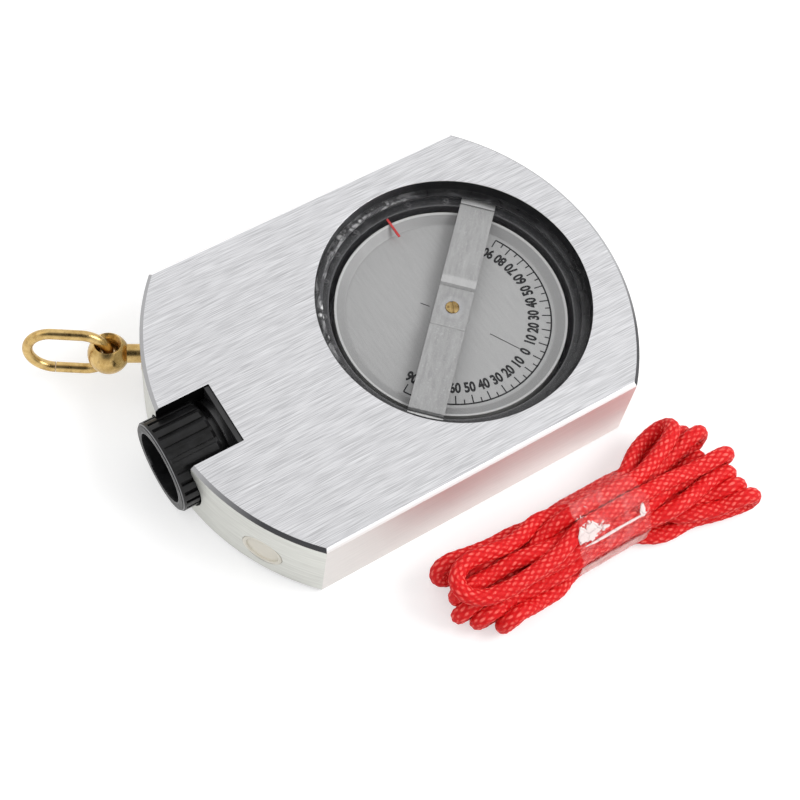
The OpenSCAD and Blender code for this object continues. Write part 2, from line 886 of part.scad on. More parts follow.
// A ring of points round each point of a path that never runs upright
function path_ring(path, i, r, sides) =
    let (ahead = path[min(i + 1, len(path) - 1)] - path[max(i - 1, 0)],
        t = ahead / norm(ahead),
        flat = cross([0, 0, 1], t),
        n = flat / norm(flat),
        b = cross(t, n))
    [for (k = [0:sides - 1]) path[i] + r * (cos(360 * k / sides) * n + sin(360 * k / sides) * b)];

module cord_tube(path, r, sides) {
    rings = len(path);
    points = [for (i = [0:rings - 1]) each path_ring(path, i, r, sides)];
    walls = [for (i = [0:rings - 2]) for (k = [0:sides - 1])
        let (a = i * sides + k, b = i * sides + (k + 1) % sides)
            each [[a, a + sides, b], [b, a + sides, b + sides]]];
    first_cap = [for (k = [1:sides - 2]) [0, k, k + 1]];
    last = (rings - 1) * sides;
    last_cap = [for (k = [1:sides - 2]) [last, last + k + 1, last + k]];
    polyhedron(points = points, faces = concat(walls, first_cap, last_cap));
}

// Finely spaced points on the same straight pieces that the tube is made of
function fine_path(path, parts) =
    [for (i = [0:len(path) - 2]) for (k = [0:parts - 1]) path[i] + (path[i + 1] - path[i]) * k / parts];

function least_gap(points, skip) =
    min([for (i = [0:len(points) - 1 - skip])
        for (j = [i + skip:len(points) - 1]) norm(points[i] - points[j])]);

function path_length(path, i = 0, sum = 0) =
    i >= len(path) - 1 ? sum : path_length(path, i + 1, sum + norm(path[i + 1] - path[i]));

module lanyard_hank() {
    echo("least gap of the cord to itself", least_gap(fine_path(hank_path, 3), 9) - cord_d);
    echo("length of the cord", path_length(hank_path));
    color(red)
        cord_tube(hank_path, cord_d / 2, cord_sides);
}

// A rectangle with rounded corners, in the plane of Y and Z, centred
module soft_box(w, h, r) {
    union() {
        square([w - 2 * r, h], center = true);
        square([w, h - 2 * r], center = true);
        for (y = [-1, 1])
            for (z = [-1, 1])
                translate([y * (w / 2 - r), z * (h / 2 - r)])
                    circle(r = r, $fn = 32);
    }
}

module hank_tape() {
    strand = strand_y(run_places[0], acos(tape_len / 2 / (hank_half - hank_nest)));
    inner_w = 2 * strand + cord_d + 2 * tape_room;
    inner_h = 3 * cord_step + cord_d + 2 * tape_room;
    corner = cord_d / 2;
    color(clear)
        translate([hank_x - tape_len / 2, hank_y, hank_z + 1.5 * cord_step])
            rotate([90, 0, 90])
                linear_extrude(tape_len)
                    difference() {
                        soft_box(inner_w + 2 * tape_t, inner_h + 2 * tape_t, corner + tape_t);
                        soft_box(inner_w, inner_h, corner);
                    }
}

body_block();
rear_plate();
capsule_cup();
capsule_liner();
capsule_seal();
capsule_window();
index_line();
hairline_plate();
front_bridge();
rear_bridge();
front_bearing_screw();
rear_bearing_screw();
front_jewel();
rear_jewel();
pivot_shaft();
wheel_hub();
scale_wheel();
wheel_weight();
eyepiece_bushing();
eyepiece_seal();
cell_key_pin();
lens_cell();
eyepiece_lens();
lens_retainer();
cell_snap_ring();
focus_ring();
end_plug();
capsule_set_screw();
swivel_bushing();
swivel_eye();
swivel_clip();
lanyard_ring();
lanyard_hank();
hank_tape();
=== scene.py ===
# Sighting clinometer with its red lanyard in a taped hank. Metres, +Z up, in the CAD frame.
import math

import bmesh
import bpy
import numpy as np
from mathutils import Matrix


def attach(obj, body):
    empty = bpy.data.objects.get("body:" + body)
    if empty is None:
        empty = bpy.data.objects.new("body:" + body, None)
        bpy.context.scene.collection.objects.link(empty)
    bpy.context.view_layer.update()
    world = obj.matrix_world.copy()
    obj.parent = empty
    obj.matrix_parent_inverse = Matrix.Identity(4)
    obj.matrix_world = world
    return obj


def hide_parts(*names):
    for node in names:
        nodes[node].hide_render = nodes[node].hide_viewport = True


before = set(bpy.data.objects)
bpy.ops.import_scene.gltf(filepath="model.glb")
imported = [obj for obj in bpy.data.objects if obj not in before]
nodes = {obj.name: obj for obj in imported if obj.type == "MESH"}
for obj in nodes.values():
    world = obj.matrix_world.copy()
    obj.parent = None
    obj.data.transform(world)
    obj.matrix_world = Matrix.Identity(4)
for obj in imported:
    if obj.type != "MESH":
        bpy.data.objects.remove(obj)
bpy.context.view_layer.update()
scene = bpy.context.scene
mm = 0.001
dialCentreX = 11.1               # the wheel's axis, in mm; it stands at y 0
print("frame loaded:", len(nodes), "nodes")


# small helpers

def linked(name, data):
    obj = bpy.data.objects.new(name, data)
    scene.collection.objects.link(obj)
    return obj


def meshPiece(name, points, faces, material, smooth=True, uvs=None):
    mesh = bpy.data.meshes.new(name)
    mesh.from_pydata([tuple(p) for p in points], [], faces)
    if uvs is not None:
        layer = mesh.uv_layers.new(name="along")
        layer.data.foreach_set("uv", np.asarray(uvs, np.float32).ravel())
    mesh.materials.append(material)
    mesh.validate()
    mesh.shade_smooth() if smooth else mesh.shade_flat()
    return linked(name, mesh)


def addNode(tree, kind, inputs=None, **settings):
    node = tree.nodes.new(kind)
    for key, value in settings.items():
        setattr(node, key, value)
    for key, value in (inputs or {}).items():
        if isinstance(value, bpy.types.NodeSocket):
            tree.links.new(value, node.inputs[key])
        elif value is not None:
            node.inputs[key].default_value = value
    return node


def maths(operation, a, b=None, clamp=False):
    tree = (a if isinstance(a, bpy.types.NodeSocket) else b).id_data
    return addNode(tree, "ShaderNodeMath", {0: a, 1: b}, operation=operation, use_clamp=clamp).outputs[0]


def chained(operation):
    # the same operation over two or more values, from left to right
    def work(first, *others):
        for value in others:
            first = maths(operation, first, value)
        return first
    return work


plus, minus, times, larger = (chained(word) for word in ("ADD", "SUBTRACT", "MULTIPLY", "MAXIMUM"))


def absolute(value):
    return maths("ABSOLUTE", value)


def lengthOf(x, y):
    return maths("SQRT", plus(times(x, x), times(y, y)))


def ramp(value, low, high, fromValue=0.0, toValue=1.0, smooth=False):
    node = addNode(value.id_data, "ShaderNodeMapRange", {
        "Value": value, "From Min": low, "From Max": high, "To Min": fromValue, "To Max": toValue})
    node.interpolation_type = "SMOOTHSTEP" if smooth else "LINEAR"
    return node.outputs["Result"]


def fade(value, low, high, smooth=False):
    # 1 up to the low value, 0 from the high one on
    return ramp(value, low, high, 1.0, 0.0, smooth)


def blend(factor, a, b):
    # a and b are colours: a socket, three numbers, or one number for a grey
    a, b = (c if isinstance(c, bpy.types.NodeSocket) else (*np.broadcast_to(c, 3), 1) for c in (a, b))
    return addNode(factor.id_data, "ShaderNodeMix", {0: factor, 6: a, 7: b}, data_type="RGBA").outputs[2]


def noise(vector, scale, detail=3.0, rough=0.55, distortion=0.0, turn=0.0, place=(0, 0, 0)):
    # the scale is one number, or three for a pattern stretched along the axes
    stretch = scale if isinstance(scale, tuple) else (scale,) * 3
    tree = vector.id_data
    mapping = addNode(tree, "ShaderNodeMapping", {
        "Vector": vector, "Location": place, "Rotation": (0, 0, turn), "Scale": stretch})
    node = addNode(tree, "ShaderNodeTexNoise", {
        "Vector": mapping.outputs[0], "Scale": 1.0, "Detail": detail, "Roughness": rough,
        "Distortion": distortion})
    return node.outputs["Fac"]


def dot(a, b):
    return addNode(a.id_data, "ShaderNodeVectorMath", {0: a, 1: b}, operation="DOT_PRODUCT").outputs["Value"]


def rounded(tree, radius):
    return addNode(tree, "ShaderNodeBevel", {"Radius": radius}, samples=4).outputs[0]


def along(vector, axis):
    return addNode(vector.id_data, "ShaderNodeSeparateXYZ", {0: vector}).outputs[axis]


def tones(pattern, dark, pale, low=0.35, high=0.68):
    # from dark to pale as the pattern rises; a noise's values lie mostly between low and high
    return blend(ramp(pattern, low, high), dark, pale)


def emptyMaterial(name):
    material = bpy.data.materials.new(name)
    material.use_nodes = True
    material.node_tree.nodes.clear()
    return material, material.node_tree


def finish(name, constants):
    # a new material and the place on the piece
    material, tree = emptyMaterial(name)
    shader = addNode(tree, "ShaderNodeBsdfPrincipled", constants)
    addNode(tree, "ShaderNodeOutputMaterial", {"Surface": shader.outputs[0]})
    return material, addNode(tree, "ShaderNodeTexCoord").outputs["Object"]


def coat(material, colour, relief=None, rough=None, edge=None, **sockets):
    # relief: a pattern, its depth and strength; rough: a pattern and the roughness at its low and high
    tree = material.node_tree
    sockets["Base Color"] = colour
    if relief:
        pattern, depth, strength = relief
        normal = rounded(tree, edge) if edge else None
        sockets["Normal"] = addNode(tree, "ShaderNodeBump", {
            "Height": pattern, "Distance": depth, "Strength": strength, "Normal": normal}).outputs[0]
    if rough:
        sockets["Roughness"] = ramp(rough[0], 0.3, 0.7, *rough[1:])
    for key, value in sockets.items():
        tree.links.new(value, tree.nodes["Principled BSDF"].inputs[key])
    return material


# camera, floor and light, as the photograph is taken

view = dict(
    lens=77.71, sensor=36.0, clip=(0.02, 20), place=(-84.266, -98.334, 238.475),
    right=(0.84412, -0.52844, 0.09063), down=(-0.43601, -0.77494, -0.45756),
    ahead=(0.31202, 0.34672, -0.88455))
camData = bpy.data.cameras.new("photoCamera")
camData.lens, camData.sensor_width, camData.sensor_fit = view["lens"], view["sensor"], "HORIZONTAL"
camData.clip_start, camData.clip_end = view["clip"]
camera = linked("photoCamera", camData)
turn = Matrix((view["right"], [-x for x in view["down"]], [-x for x in view["ahead"]])).transposed().to_4x4()
camera.matrix_world = Matrix.Translation([x * mm for x in view["place"]]) @ turn
scene.camera = camera
scene.view_settings.view_transform = "Standard"


def seenBackground(tree, amount):
    # the amount for rays that show the background: camera, mirror or clear pieces
    path = addNode(tree, "ShaderNodeLightPath").outputs
    seen = larger(path["Is Camera Ray"], path["Is Glossy Ray"], path["Is Transmission Ray"])
    return times(seen, amount)


# the dark values are the unlit room behind the camera, as reflections show it
light = dict(
    worldStrength=0.80, worldSeen=0.20,
    darkHeading=(-0.312, -0.347, 0.885), darkEdge=(20, 46), darkLevel=0.05,
    floorHalf=3.0, floorHeight=-0.0001, floorColour=0.60, floorPale=0.612,
    floorGrain=40, floorSeen=0.50,
    keyPower=2.9, keySize=0.38, keyPlace=(0.42, -0.30, 0.60),
    fillPower=0.55, fillSize=0.6, fillPlace=(-0.45, 0.40, 0.60))
world = bpy.data.worlds.new("studio")
world.use_nodes = True
scene.world = world
sky = world.node_tree
sky.nodes.clear()
shine = addNode(sky, "ShaderNodeBackground", {"Color": (1, 1, 1, 1)})
heading = addNode(sky, "ShaderNodeTexCoord").outputs["Generated"]
nearness = dot(heading, light["darkHeading"])
darkFull, darkNone = (math.cos(math.radians(edge)) for edge in light["darkEdge"])
unlit = ramp(nearness, darkNone, darkFull, 1.0, light["darkLevel"], smooth=True)
notMirrored = minus(1.0, addNode(sky, "ShaderNodeLightPath").outputs["Is Glossy Ray"])
level = plus(seenBackground(sky, light["worldSeen"]), light["worldStrength"])
sky.links.new(times(level, larger(unlit, notMirrored)), shine.inputs["Strength"])
addNode(sky, "ShaderNodeOutputWorld", {"Surface": shine.outputs[0]})


def floorFinish():
    material, tree = emptyMaterial("paleFloor")
    grain = noise(addNode(tree, "ShaderNodeTexCoord").outputs["Object"], light["floorGrain"])
    colour = tones(grain, light["floorColour"], light["floorPale"], 0.3, 0.7)
    paper = addNode(tree, "ShaderNodeBsdfDiffuse", {"Color": colour})
    glow = addNode(tree, "ShaderNodeEmission", {
        "Color": (1, 1, 1, 1), "Strength": seenBackground(tree, light["floorSeen"])})
    both = addNode(tree, "ShaderNodeAddShader", {0: paper.outputs[0], 1: glow.outputs[0]})
    addNode(tree, "ShaderNodeOutputMaterial", {"Surface": both.outputs[0]})
    return material


corners = [(x * light["floorHalf"], y * light["floorHalf"], light["floorHeight"])
           for x, y in ((-1, -1), (1, -1), (1, 1), (-1, 1))]
floor = meshPiece("floor", corners, [(0, 1, 2, 3)], floorFinish(), smooth=False)


def softLamp(name, power, size, place):
    data = bpy.data.lights.new(name, "AREA")
    data.energy, data.size = power, size
    lamp = linked(name, data)
    lamp.location = place
    lamp.rotation_mode = "QUATERNION"
    lamp.rotation_quaternion = (-lamp.location).to_track_quat("-Z", "Y")


for lampName in ("key", "fill"):
    softLamp(lampName + "Lamp", *(light[lampName + word] for word in ("Power", "Size", "Place")))
print("camera, floor and lamps made")


# the lanyard cord: one route through the hank, then its contacts eased apart

cordRoute = dict(
    waistX=(18.6, 15.0, 11.4, 7.8), waistY=-38.4, perPoint=12, step=1.0,
    # places across the taped waist: row height and the strands' offsets, in mm
    rows={"r0": (1.35, (3.9, 1.3, -1.3, -3.9), "abcd"), "r1": (3.65, (2.6, 0, -2.6), "fmn"),
          "r2": (5.95, (3.9, 1.3, -1.3, -3.9), "abcd"), "r3": (8.25, (2.6, 0, -2.6), "fmn"),
          "r4": (10.5, (1.3, -1.3), "ab")},
    # the folds and the places between them, in the order that the cord takes them
    order="endA r1m L7 r2b R2 r3m L3 r4a R1 r3f L2 r4b R3 r3n L4 r2c R5 "
          "r2d L5 r1n R6 r0c L6 r0d R8 r0b L8 r0a R7 r2a L1 r1f endB",
    folds={
        "L1": [(3, -35.0, 5.9), (-5, -34.7, 6.2), (-10, -33.7, 6.4), (-12.1, -32.9, 5.8), (-12.4, -33.6, 4.6),
               (-10.5, -34.6, 4.0), (-6, -34.8, 3.6), (0, -35.2, 3.4)],
        "L2": [(4.5, -36.2, 8.5), (1, -36.2, 9.0), (-3, -36.0, 9.6), (-6, -35.7, 10.0), (-9, -35.5, 10.1),
               (-11.2, -36.2, 10.0), (-11.9, -38.0, 9.8), (-11.3, -39.9, 9.7), (-9.3, -41.2, 9.7),
               (-6, -41.8, 9.8), (-2, -41.8, 10.1), (1.5, -41.4, 10.3), (5, -40.4, 10.5)],
        "L3": [(1, -38.3, 8.2), (-6, -38.3, 7.6), (-11.2, -38.4, 7.0), (-12.4, -38.4, 5.8),
               (-11.4, -38.5, 4.6), (-6, -38.6, 5.0), (1, -38.4, 6.6)],
        "L4": [(3, -41.2, 7.6), (-5, -40.9, 6.2), (-11.6, -40.0, 5.0), (-13.0, -39.9, 3.9),
               (-11.8, -39.9, 2.7), (-6, -40.2, 3.0), (1, -40.2, 4.6)],
        "L5": [(3, -42.2, 5.8), (-4, -42.6, 5.0), (-9.6, -42.0, 4.1), (-11.1, -41.9, 2.9),
               (-10.0, -41.9, 1.6), (-4, -41.9, 1.5), (1, -41.4, 2.6)],
        "L6": [(3, -40.6, 1.35), (-2, -42.4, 1.35), (-6.5, -43.8, 1.4), (-8.4, -44.3, 2.5),
               (-7.2, -43.9, 3.8), (-3.5, -43.1, 3.7), (0, -42.7, 2.6), (4, -42.4, 1.6)],
        "L7": [(2, -38.0, 3.6), (-3, -37.2, 3.0), (-7.0, -36.4, 3.0), (-8.8, -36.1, 4.2), (-7.4, -36.2, 5.5),
               (-1, -37.0, 5.9)],
        "L8": [(4, -37.4, 1.35), (-1, -37.2, 1.35), (-5, -36.9, 1.35), (-6, -35.9, 1.35), (-4.6, -35.0, 1.35),
               (0, -34.6, 1.35)],
        "R1": [(20.9, -37.0, 10.2), (23.9, -36.1, 10.1), (27.0, -34.7, 9.9), (29.6, -33.3, 9.3),
               (31.1, -31.9, 8.3), (31.0, -31.1, 7.2), (29.4, -31.0, 6.4), (27.2, -31.6, 6.1),
               (24.3, -32.9, 6.2), (21.5, -34.3, 6.8)],
        "R2": [(24, -36.8, 5.0), (30, -35.6, 4.2), (34.6, -34.8, 4.0), (35.9, -34.7, 5.3), (34.7, -34.7, 6.6),
               (30, -35.4, 7.0), (24, -36.9, 7.8)],
        "R3": [(24, -39.6, 9.6), (30, -39.8, 8.6), (35.6, -39.9, 7.8), (36.9, -39.9, 6.5), (35.7, -39.9, 5.2),
               (30, -40.0, 5.8), (24, -40.4, 7.2)],
        "R5": [(24, -40.2, 4.4), (30, -41.3, 3.4), (35.2, -42.0, 3.0), (36.4, -42.0, 4.3), (35.2, -42.0, 5.6),
               (30, -42.1, 5.8), (24, -42.2, 6.0)],
        "R6": [(24, -41.6, 4.2), (30, -43.2, 4.4), (35.4, -44.4, 4.5), (36.7, -44.4, 3.2), (35.5, -44.3, 1.9),
               (30, -43.2, 1.5), (24, -40.9, 1.35)],
        "R8": [(24, -42.9, 1.35), (30, -45.0, 1.35), (36.3, -46.8, 1.35), (37.7, -46.9, 2.6),
               (36.4, -46.6, 3.9), (31, -45.2, 3.7), (27.5, -44.3, 3.4), (24.6, -43.0, 3.0),
               (21.4, -40.2, 1.8)],
        "R7": [(24, -34.2, 1.35), (29, -33.2, 1.35), (33.0, -32.6, 1.6), (34.4, -32.6, 2.9),
               (33.2, -32.7, 4.3), (29, -33.3, 4.9), (23, -34.5, 5.5)],
        "endA": [(33.9, -37.7, 6.4), (32.0, -38.0, 5.7), (28.3, -38.4, 4.8), (23, -38.4, 3.7)],
        "endB": [(22, -35.6, 3.4), (27, -34.8, 2.9), (31.0, -34.8, 2.2)],
    })


def smoothLine(points, per):
    # a centripetal curve through every point
    p = np.vstack([2 * points[0] - points[1], points, 2 * points[-1] - points[-2]])
    out = []
    for i in range(1, len(p) - 2):
        four = p[i - 1:i + 3]
        gaps = [max(np.linalg.norm(four[k + 1] - four[k]), 1e-6) ** 0.5 for k in range(3)]
        t = np.cumsum([0] + gaps)
        for u in np.linspace(t[1], t[2], per, endpoint=False):
            a = [((t[k + 1] - u) * four[k] + (u - t[k]) * four[k + 1]) / (t[k + 1] - t[k])
                 for k in range(3)]
            b = [((t[k + 2] - u) * a[k] + (u - t[k]) * a[k + 1]) / (t[k + 2] - t[k])
                 for k in range(2)]
            out.append(((t[2] - u) * b[0] + (u - t[1]) * b[1]) / (t[2] - t[1]))
    out.append(p[-2])
    return np.array(out)


def evenly(line, count):
    # that many points at even distances along the line, and its length
    run = np.r_[0, np.cumsum(np.linalg.norm(np.diff(line, axis=0), axis=1))]
    at = np.linspace(0, run[-1], count)
    return np.stack([np.interp(at, run, line[:, k]) for k in range(line.shape[1])], 1), run[-1]


def firstRoute(r):
    slots = {row + letter: (r["waistY"] + y, z)
             for row, (z, ys, letters) in r["rows"].items() for y, letter in zip(ys, letters)}
    points, leftward = [], True
    for word in r["order"].split():
        if word in slots:
            points += [(x, *slots[word]) for x in (r["waistX"] if leftward else r["waistX"][::-1])]
            leftward = not leftward
        else:
            points += r["folds"][word]
    line = smoothLine(np.array(points, float), r["perPoint"])
    count = int(round(evenly(line, 2)[1] / r["step"])) + 1
    return evenly(line, count)


# rounds: how many, and how hard each point is pulled home; chords: points either side, least span
easing = dict(
    rounds=((240, 0.03), (80, 0.006)), lookEvery=6, lookBeyond=1.2, ownNeighbours=4, touch=2.38, push=0.4,
    chords=((2, 3.35), (3, 4.2)), chordPull=0.25, smoothing=0.35, drop=0.01, floorGap=0.09,
    tapedX=(8.2, 18.2), tapedPull=0.3)


def easeApart(p, total, radius, e):
    # strands that touch push each other off, tight bends open, and the cord keeps its length
    n, home = len(p), p.copy()
    step, index = total / (n - 1), np.arange(n)
    taped = (p[:, 0] > e["tapedX"][0]) & (p[:, 0] < e["tapedX"][1])
    for count, pull in e["rounds"]:
        for turnNumber in range(count):
            if turnNumber % e["lookEvery"] == 0:
                away = p[:, None] - p[None]
                close = np.einsum("ijk,ijk->ij", away, away) < (e["touch"] + e["lookBeyond"]) ** 2
                first, second = np.where(close & (index[None] - index[:, None] > e["ownNeighbours"]))
            v = p[first] - p[second]
            d = np.maximum(np.sqrt((v * v).sum(1)), 1e-6)
            hit = d < e["touch"]
            a, b, v, d = first[hit], second[hit], v[hit], d[hit]
            push = (e["push"] * (e["touch"] - d) / d)[:, None] * v
            met = np.bincount(a, minlength=n) + np.bincount(b, minlength=n)
            moved = np.stack([np.bincount(a, push[:, k], n) - np.bincount(b, push[:, k], n)
                              for k in range(3)], 1)
            p = p + moved * (2.0 / np.maximum(met, 2))[:, None]
            for k, chord in e["chords"]:
                v = p[2 * k:] - p[:-2 * k]
                d = np.maximum(np.linalg.norm(v, axis=1), 1e-6)
                need = (np.maximum(chord - d, 0) / d * e["chordPull"])[:, None] * v
                p[2 * k:] += need
                p[:-2 * k] -= need
            lap, bend = np.zeros_like(p), np.zeros_like(p)
            lap[1:-1] = (p[:-2] + p[2:]) / 2 - p[1:-1]
            bend[1:-1] = (lap[:-2] + lap[2:]) / 2 - lap[1:-1]
            p = p - e["smoothing"] * bend
            for start in (0, 1, 0, 1):
                m = (n - start) // 2
                one, two = p[start:start + 2 * m:2], p[start + 1:start + 2 * m:2]
                v = two - one
                d = np.maximum(np.linalg.norm(v, axis=1), 1e-6)
                fix = (0.5 * (d - step) / d)[:, None] * v
                one += fix
                two -= fix
            p = p + (home - p) * pull
            p[taped] += (home - p)[taped] * e["tapedPull"]
            p[:, 2] = np.maximum(p[:, 2] - e["drop"], radius + e["floorGap"])
    return p


cordSize = dict(diameter=2.46, around=36, rings=2690, carriers=8, stitch=0.82, perPoint=6,
                relief=0.13, meanHeight=0.55, capLength=1.1, capLeast=0.01, tip=0.2)


def braidHeight(u, v):
    # two sets of strands cross as diagonals: a rounded grain stands on each crossing
    return 0.5 - 0.25 * (np.cos(2 * np.pi * (u + v)) + np.cos(2 * np.pi * (u - v)))


def sweepCord(centre, size):
    # a tube along the route, its skin raised where one strand of the braid passes over another
    fine, total = evenly(smoothLine(centre, size["perPoint"]), size["rings"])
    tangent = np.gradient(fine, axis=0)
    tangent /= np.linalg.norm(tangent, axis=1)[:, None]
    side = np.zeros_like(fine)
    side[0] = np.cross(tangent[0], (0, 0, 1))
    for i in range(1, len(fine)):
        side[i] = side[i - 1] - tangent[i] * (side[i - 1] @ tangent[i])
        side[i] /= np.linalg.norm(side[i])
    side[0] = side[1]
    up = np.cross(tangent, side)
    run = np.linspace(0, total, len(fine))
    k = np.arange(size["around"])
    angle = 2 * np.pi * k / size["around"]
    u = (size["carriers"] * k / size["around"])[None]
    v = (run / size["stitch"] / 2)[:, None]
    fromEnd = np.minimum(run, total - run)[:, None] / size["capLength"]
    raised = size["relief"] * (braidHeight(u, v) - size["meanHeight"]) * np.clip(fromEnd, 0, 1)
    cap = np.sqrt(np.clip(1 - (1 - np.clip(fromEnd, 0, 1)) ** 2, size["capLeast"], 1))
    radius = (size["diameter"] / 2 + raised) * cap
    outward = np.cos(angle)[None, :, None] * side[:, None] + np.sin(angle)[None, :, None] * up[:, None]
    return fine, fine[:, None] + radius[..., None] * outward, run, total


# shadedHollow is a darker red painted into the braid's hollows as shade, crownHighlight a pale pink painted
# on the grains' crowns as a highlight
cordLook = dict(
    shadedHollow=(0.60, 0.006, 0.009), plain=(0.71, 0.008, 0.010), crownHighlight=(1.0, 0.17, 0.14), highlightShare=0.95,
    acrossFall=1.15, alongFall=0.55, hairs=16.0, fuzz=5200, blotch=1150, depth=0.00008,
    hollowHeight=-0.14, grainHeight=0.35, hairHeight=0.03, fuzzHeight=0.20)


def cordFinish(look):
    material, at = finish("braidedCord", {
        "Roughness": 0.58, "Sheen Weight": 0.05, "Sheen Roughness": 0.4,
        "Sheen Tint": (1.0, 0.30, 0.25, 1), "Specular IOR Level": 0.18})
    tree = material.node_tree
    uv = addNode(tree, "ShaderNodeUVMap", uv_map="along").outputs[0]
    u, v = along(uv, 0), along(uv, 1)
    a, b = plus(u, v), minus(u, v)
    fa, fb = (minus(times(maths("FRACT", line), 2.0), 1.0) for line in (a, b))
    parity = maths("PINGPONG", plus(maths("FLOOR", a), maths("FLOOR", b)), 1.0)
    flip = minus(1.0, parity)
    across = plus(times(fa, flip), times(fb, parity))
    lengthways = plus(times(fb, flip), times(fa, parity))
    fall = plus(times(across, across, look["acrossFall"]), times(lengthways, lengthways, look["alongFall"]))
    grain = maths("SUBTRACT", 1.0, fall, clamp=True)
    hairs = maths("SINE", times(across, look["hairs"]))
    fuzz = noise(at, look["fuzz"], detail=2)
    blotch = noise(at, look["blotch"], detail=2)
    shadedHollow = plus(*(maths("COSINE", times(line, 2 * math.pi)) for line in (a, b)))
    # painted shade: a darker red in the hollows between the grains
    colour = blend(ramp(shadedHollow, 2.0, 0.6, smooth=True), look["shadedHollow"], look["plain"])
    # painted highlight: a pale pink on each grain's crown
    crownHighlight = times(ramp(grain, 0.40, 1.0, smooth=True), ramp(blotch, 0.40, 0.60, 0.05, 1.0))
    colour = blend(times(crownHighlight, look["highlightShare"]), colour, look["crownHighlight"])
    height = plus(times(shadedHollow, look["hollowHeight"]), times(grain, look["grainHeight"]),
                  times(hairs, look["hairHeight"]), times(fuzz, look["fuzzHeight"]))
    return coat(material, colour, (height, look["depth"], 0.8))


def makeCord(r, size):
    route, total = firstRoute(r)
    centre = easeApart(route, total, size["diameter"] / 2, easing)
    fine, ring, run, total = sweepCord(centre, size)
    count, around = ring.shape[:2]
    tips = [fine[:1] - (fine[1] - fine[0]) * size["tip"], fine[-1:] + (fine[-1] - fine[-2]) * size["tip"]]
    points = np.vstack([ring.reshape(-1, 3), *tips]) * mm
    faces, uvs = [], []
    first, last = count * around, count * around + 1
    for i in range(count - 1):
        v0, v1 = run[i] / size["stitch"] / 2, run[i + 1] / size["stitch"] / 2
        for k in range(around):
            j = (k + 1) % around
            u0, u1 = size["carriers"] * k / around, size["carriers"] * (k + 1) / around
            faces.append((i * around + k, i * around + j, (i + 1) * around + j, (i + 1) * around + k))
            uvs += [(u0, v0), (u1, v0), (u1, v1), (u0, v1)]
    for k in range(around):
        j = (k + 1) % around
        u0 = size["carriers"] * k / around
        faces += [(first, j, k), (last, (count - 1) * around + k, (count - 1) * around + j)]
        uvs += [(u0, 0.0)] * 3 + [(u0, run[-1] / size["stitch"] / 2)] * 3
    cord = meshPiece("lanyard_cord", points, faces, cordFinish(cordLook), uvs=uvs)
    return cord, fine * mm, total * mm, centre


cord, cordLine, cordLength, cordCentre = makeCord(cordRoute, cordSize)
print("cord laid: %.3f m" % cordLength)


# the clear tape round the waist; an edge is its x and how far the film's turns shift it

# waves: share, turns round the band, turns along it, start; ragged: mm, turns, start
tapeSize = dict(
    left=(7.4, 0.8), right=(18.8, -0.4), inside=(8.5, 18.0), around=160, lengths=44, facings=1440,
    clearance=0.1, thickness=0.14, wrinkle=0.10, floorGap=(0.09, 0.02),
    waves=((1.0, 5, 7, 0), (1.0, 11, -9, 2), (0.7, 17, 23, 0)), ragged=((0.12, 3, 1.0), (0.07, 13, 0)))

# places are shares of the band, along and round it, with their half sizes and raggedness
# white and glints are painted highlights; seam and tab are the film's real overlap, painted pale as a
# highlight where it catches the light
tapeLook = dict(
    white=(0.11, 0.330, 0.27, 0.038, 1.8), glints=(0.12, 0.245, 0.16, 0.03, 1.4),
    seam=(0.50, 0.384, 0.48, 0.0065, 1.2), tab=(0.90, 0.362, 0.035, 0.034, 1.8),
    # sideCordLight: the pink painted into the hazy side band for the red cord's light behind it
    side=(0.5, 0.535, 2.0, 0.045, 0.9), film=(1.0, 0.86, 0.84), sideCordLight=(1.0, 0.60, 0.56),
    clearAlpha=0.02, crumpledAlpha=0.05, cloudAndGlareAlpha=0.88)


def tapeFinish(look):
    material, at = finish("clearTape", {"Roughness": 0.14, "IOR": 1.47})
    tree = material.node_tree
    uv = addNode(tree, "ShaderNodeUVMap", uv_map="along").outputs[0]
    u, v = along(uv, 0), along(uv, 1)
    crumple = noise(at, 420, distortion=0.8)
    loose = noise(at, 700, detail=2, distortion=1.2)
    crease = addNode(tree, "ShaderNodeTexVoronoi", {"Vector": at, "Scale": 520.0}, feature="DISTANCE_TO_EDGE")

    def patch(word, grain):
        u0, v0, halfU, halfV, rag = look[word]
        du, dv = (maths("DIVIDE", minus(value, middle), half)
                  for value, middle, half in ((u, u0, halfU), (v, v0, halfV)))
        far = plus(lengthOf(du, dv), times(minus(grain, 0.5), rag))
        return fade(far, 0.85, 1.0)

    # painted highlights: the glare patch and the glints, and the seam and tab painted pale; the side band's
    # haze is the film's own
    glints = times(patch("glints", loose), ramp(loose, 0.56, 0.62))
    side = patch("side", crumple)
    haze = times(side, ramp(crumple, 0.35, 0.65, 0.45, 0.75))
    cloudAndGlare = larger(patch("white", loose), haze, glints, patch("seam", crumple), patch("tab", crumple))
    film = plus(look["clearAlpha"], times(ramp(crumple, 0.45, 0.7), look["crumpledAlpha"]))
    folds = plus(crumple, times(ramp(crease.outputs[0], 0.0, 0.12), 0.4))
    # painted light: the side band is tinted pink for the red cord seen through its haze
    colour = blend(side, look["film"], look["sideCordLight"])
    alpha = larger(film, times(cloudAndGlare, look["cloudAndGlareAlpha"]))
    return coat(material, colour, (folds, 0.0004, 0.8), Alpha=alpha)


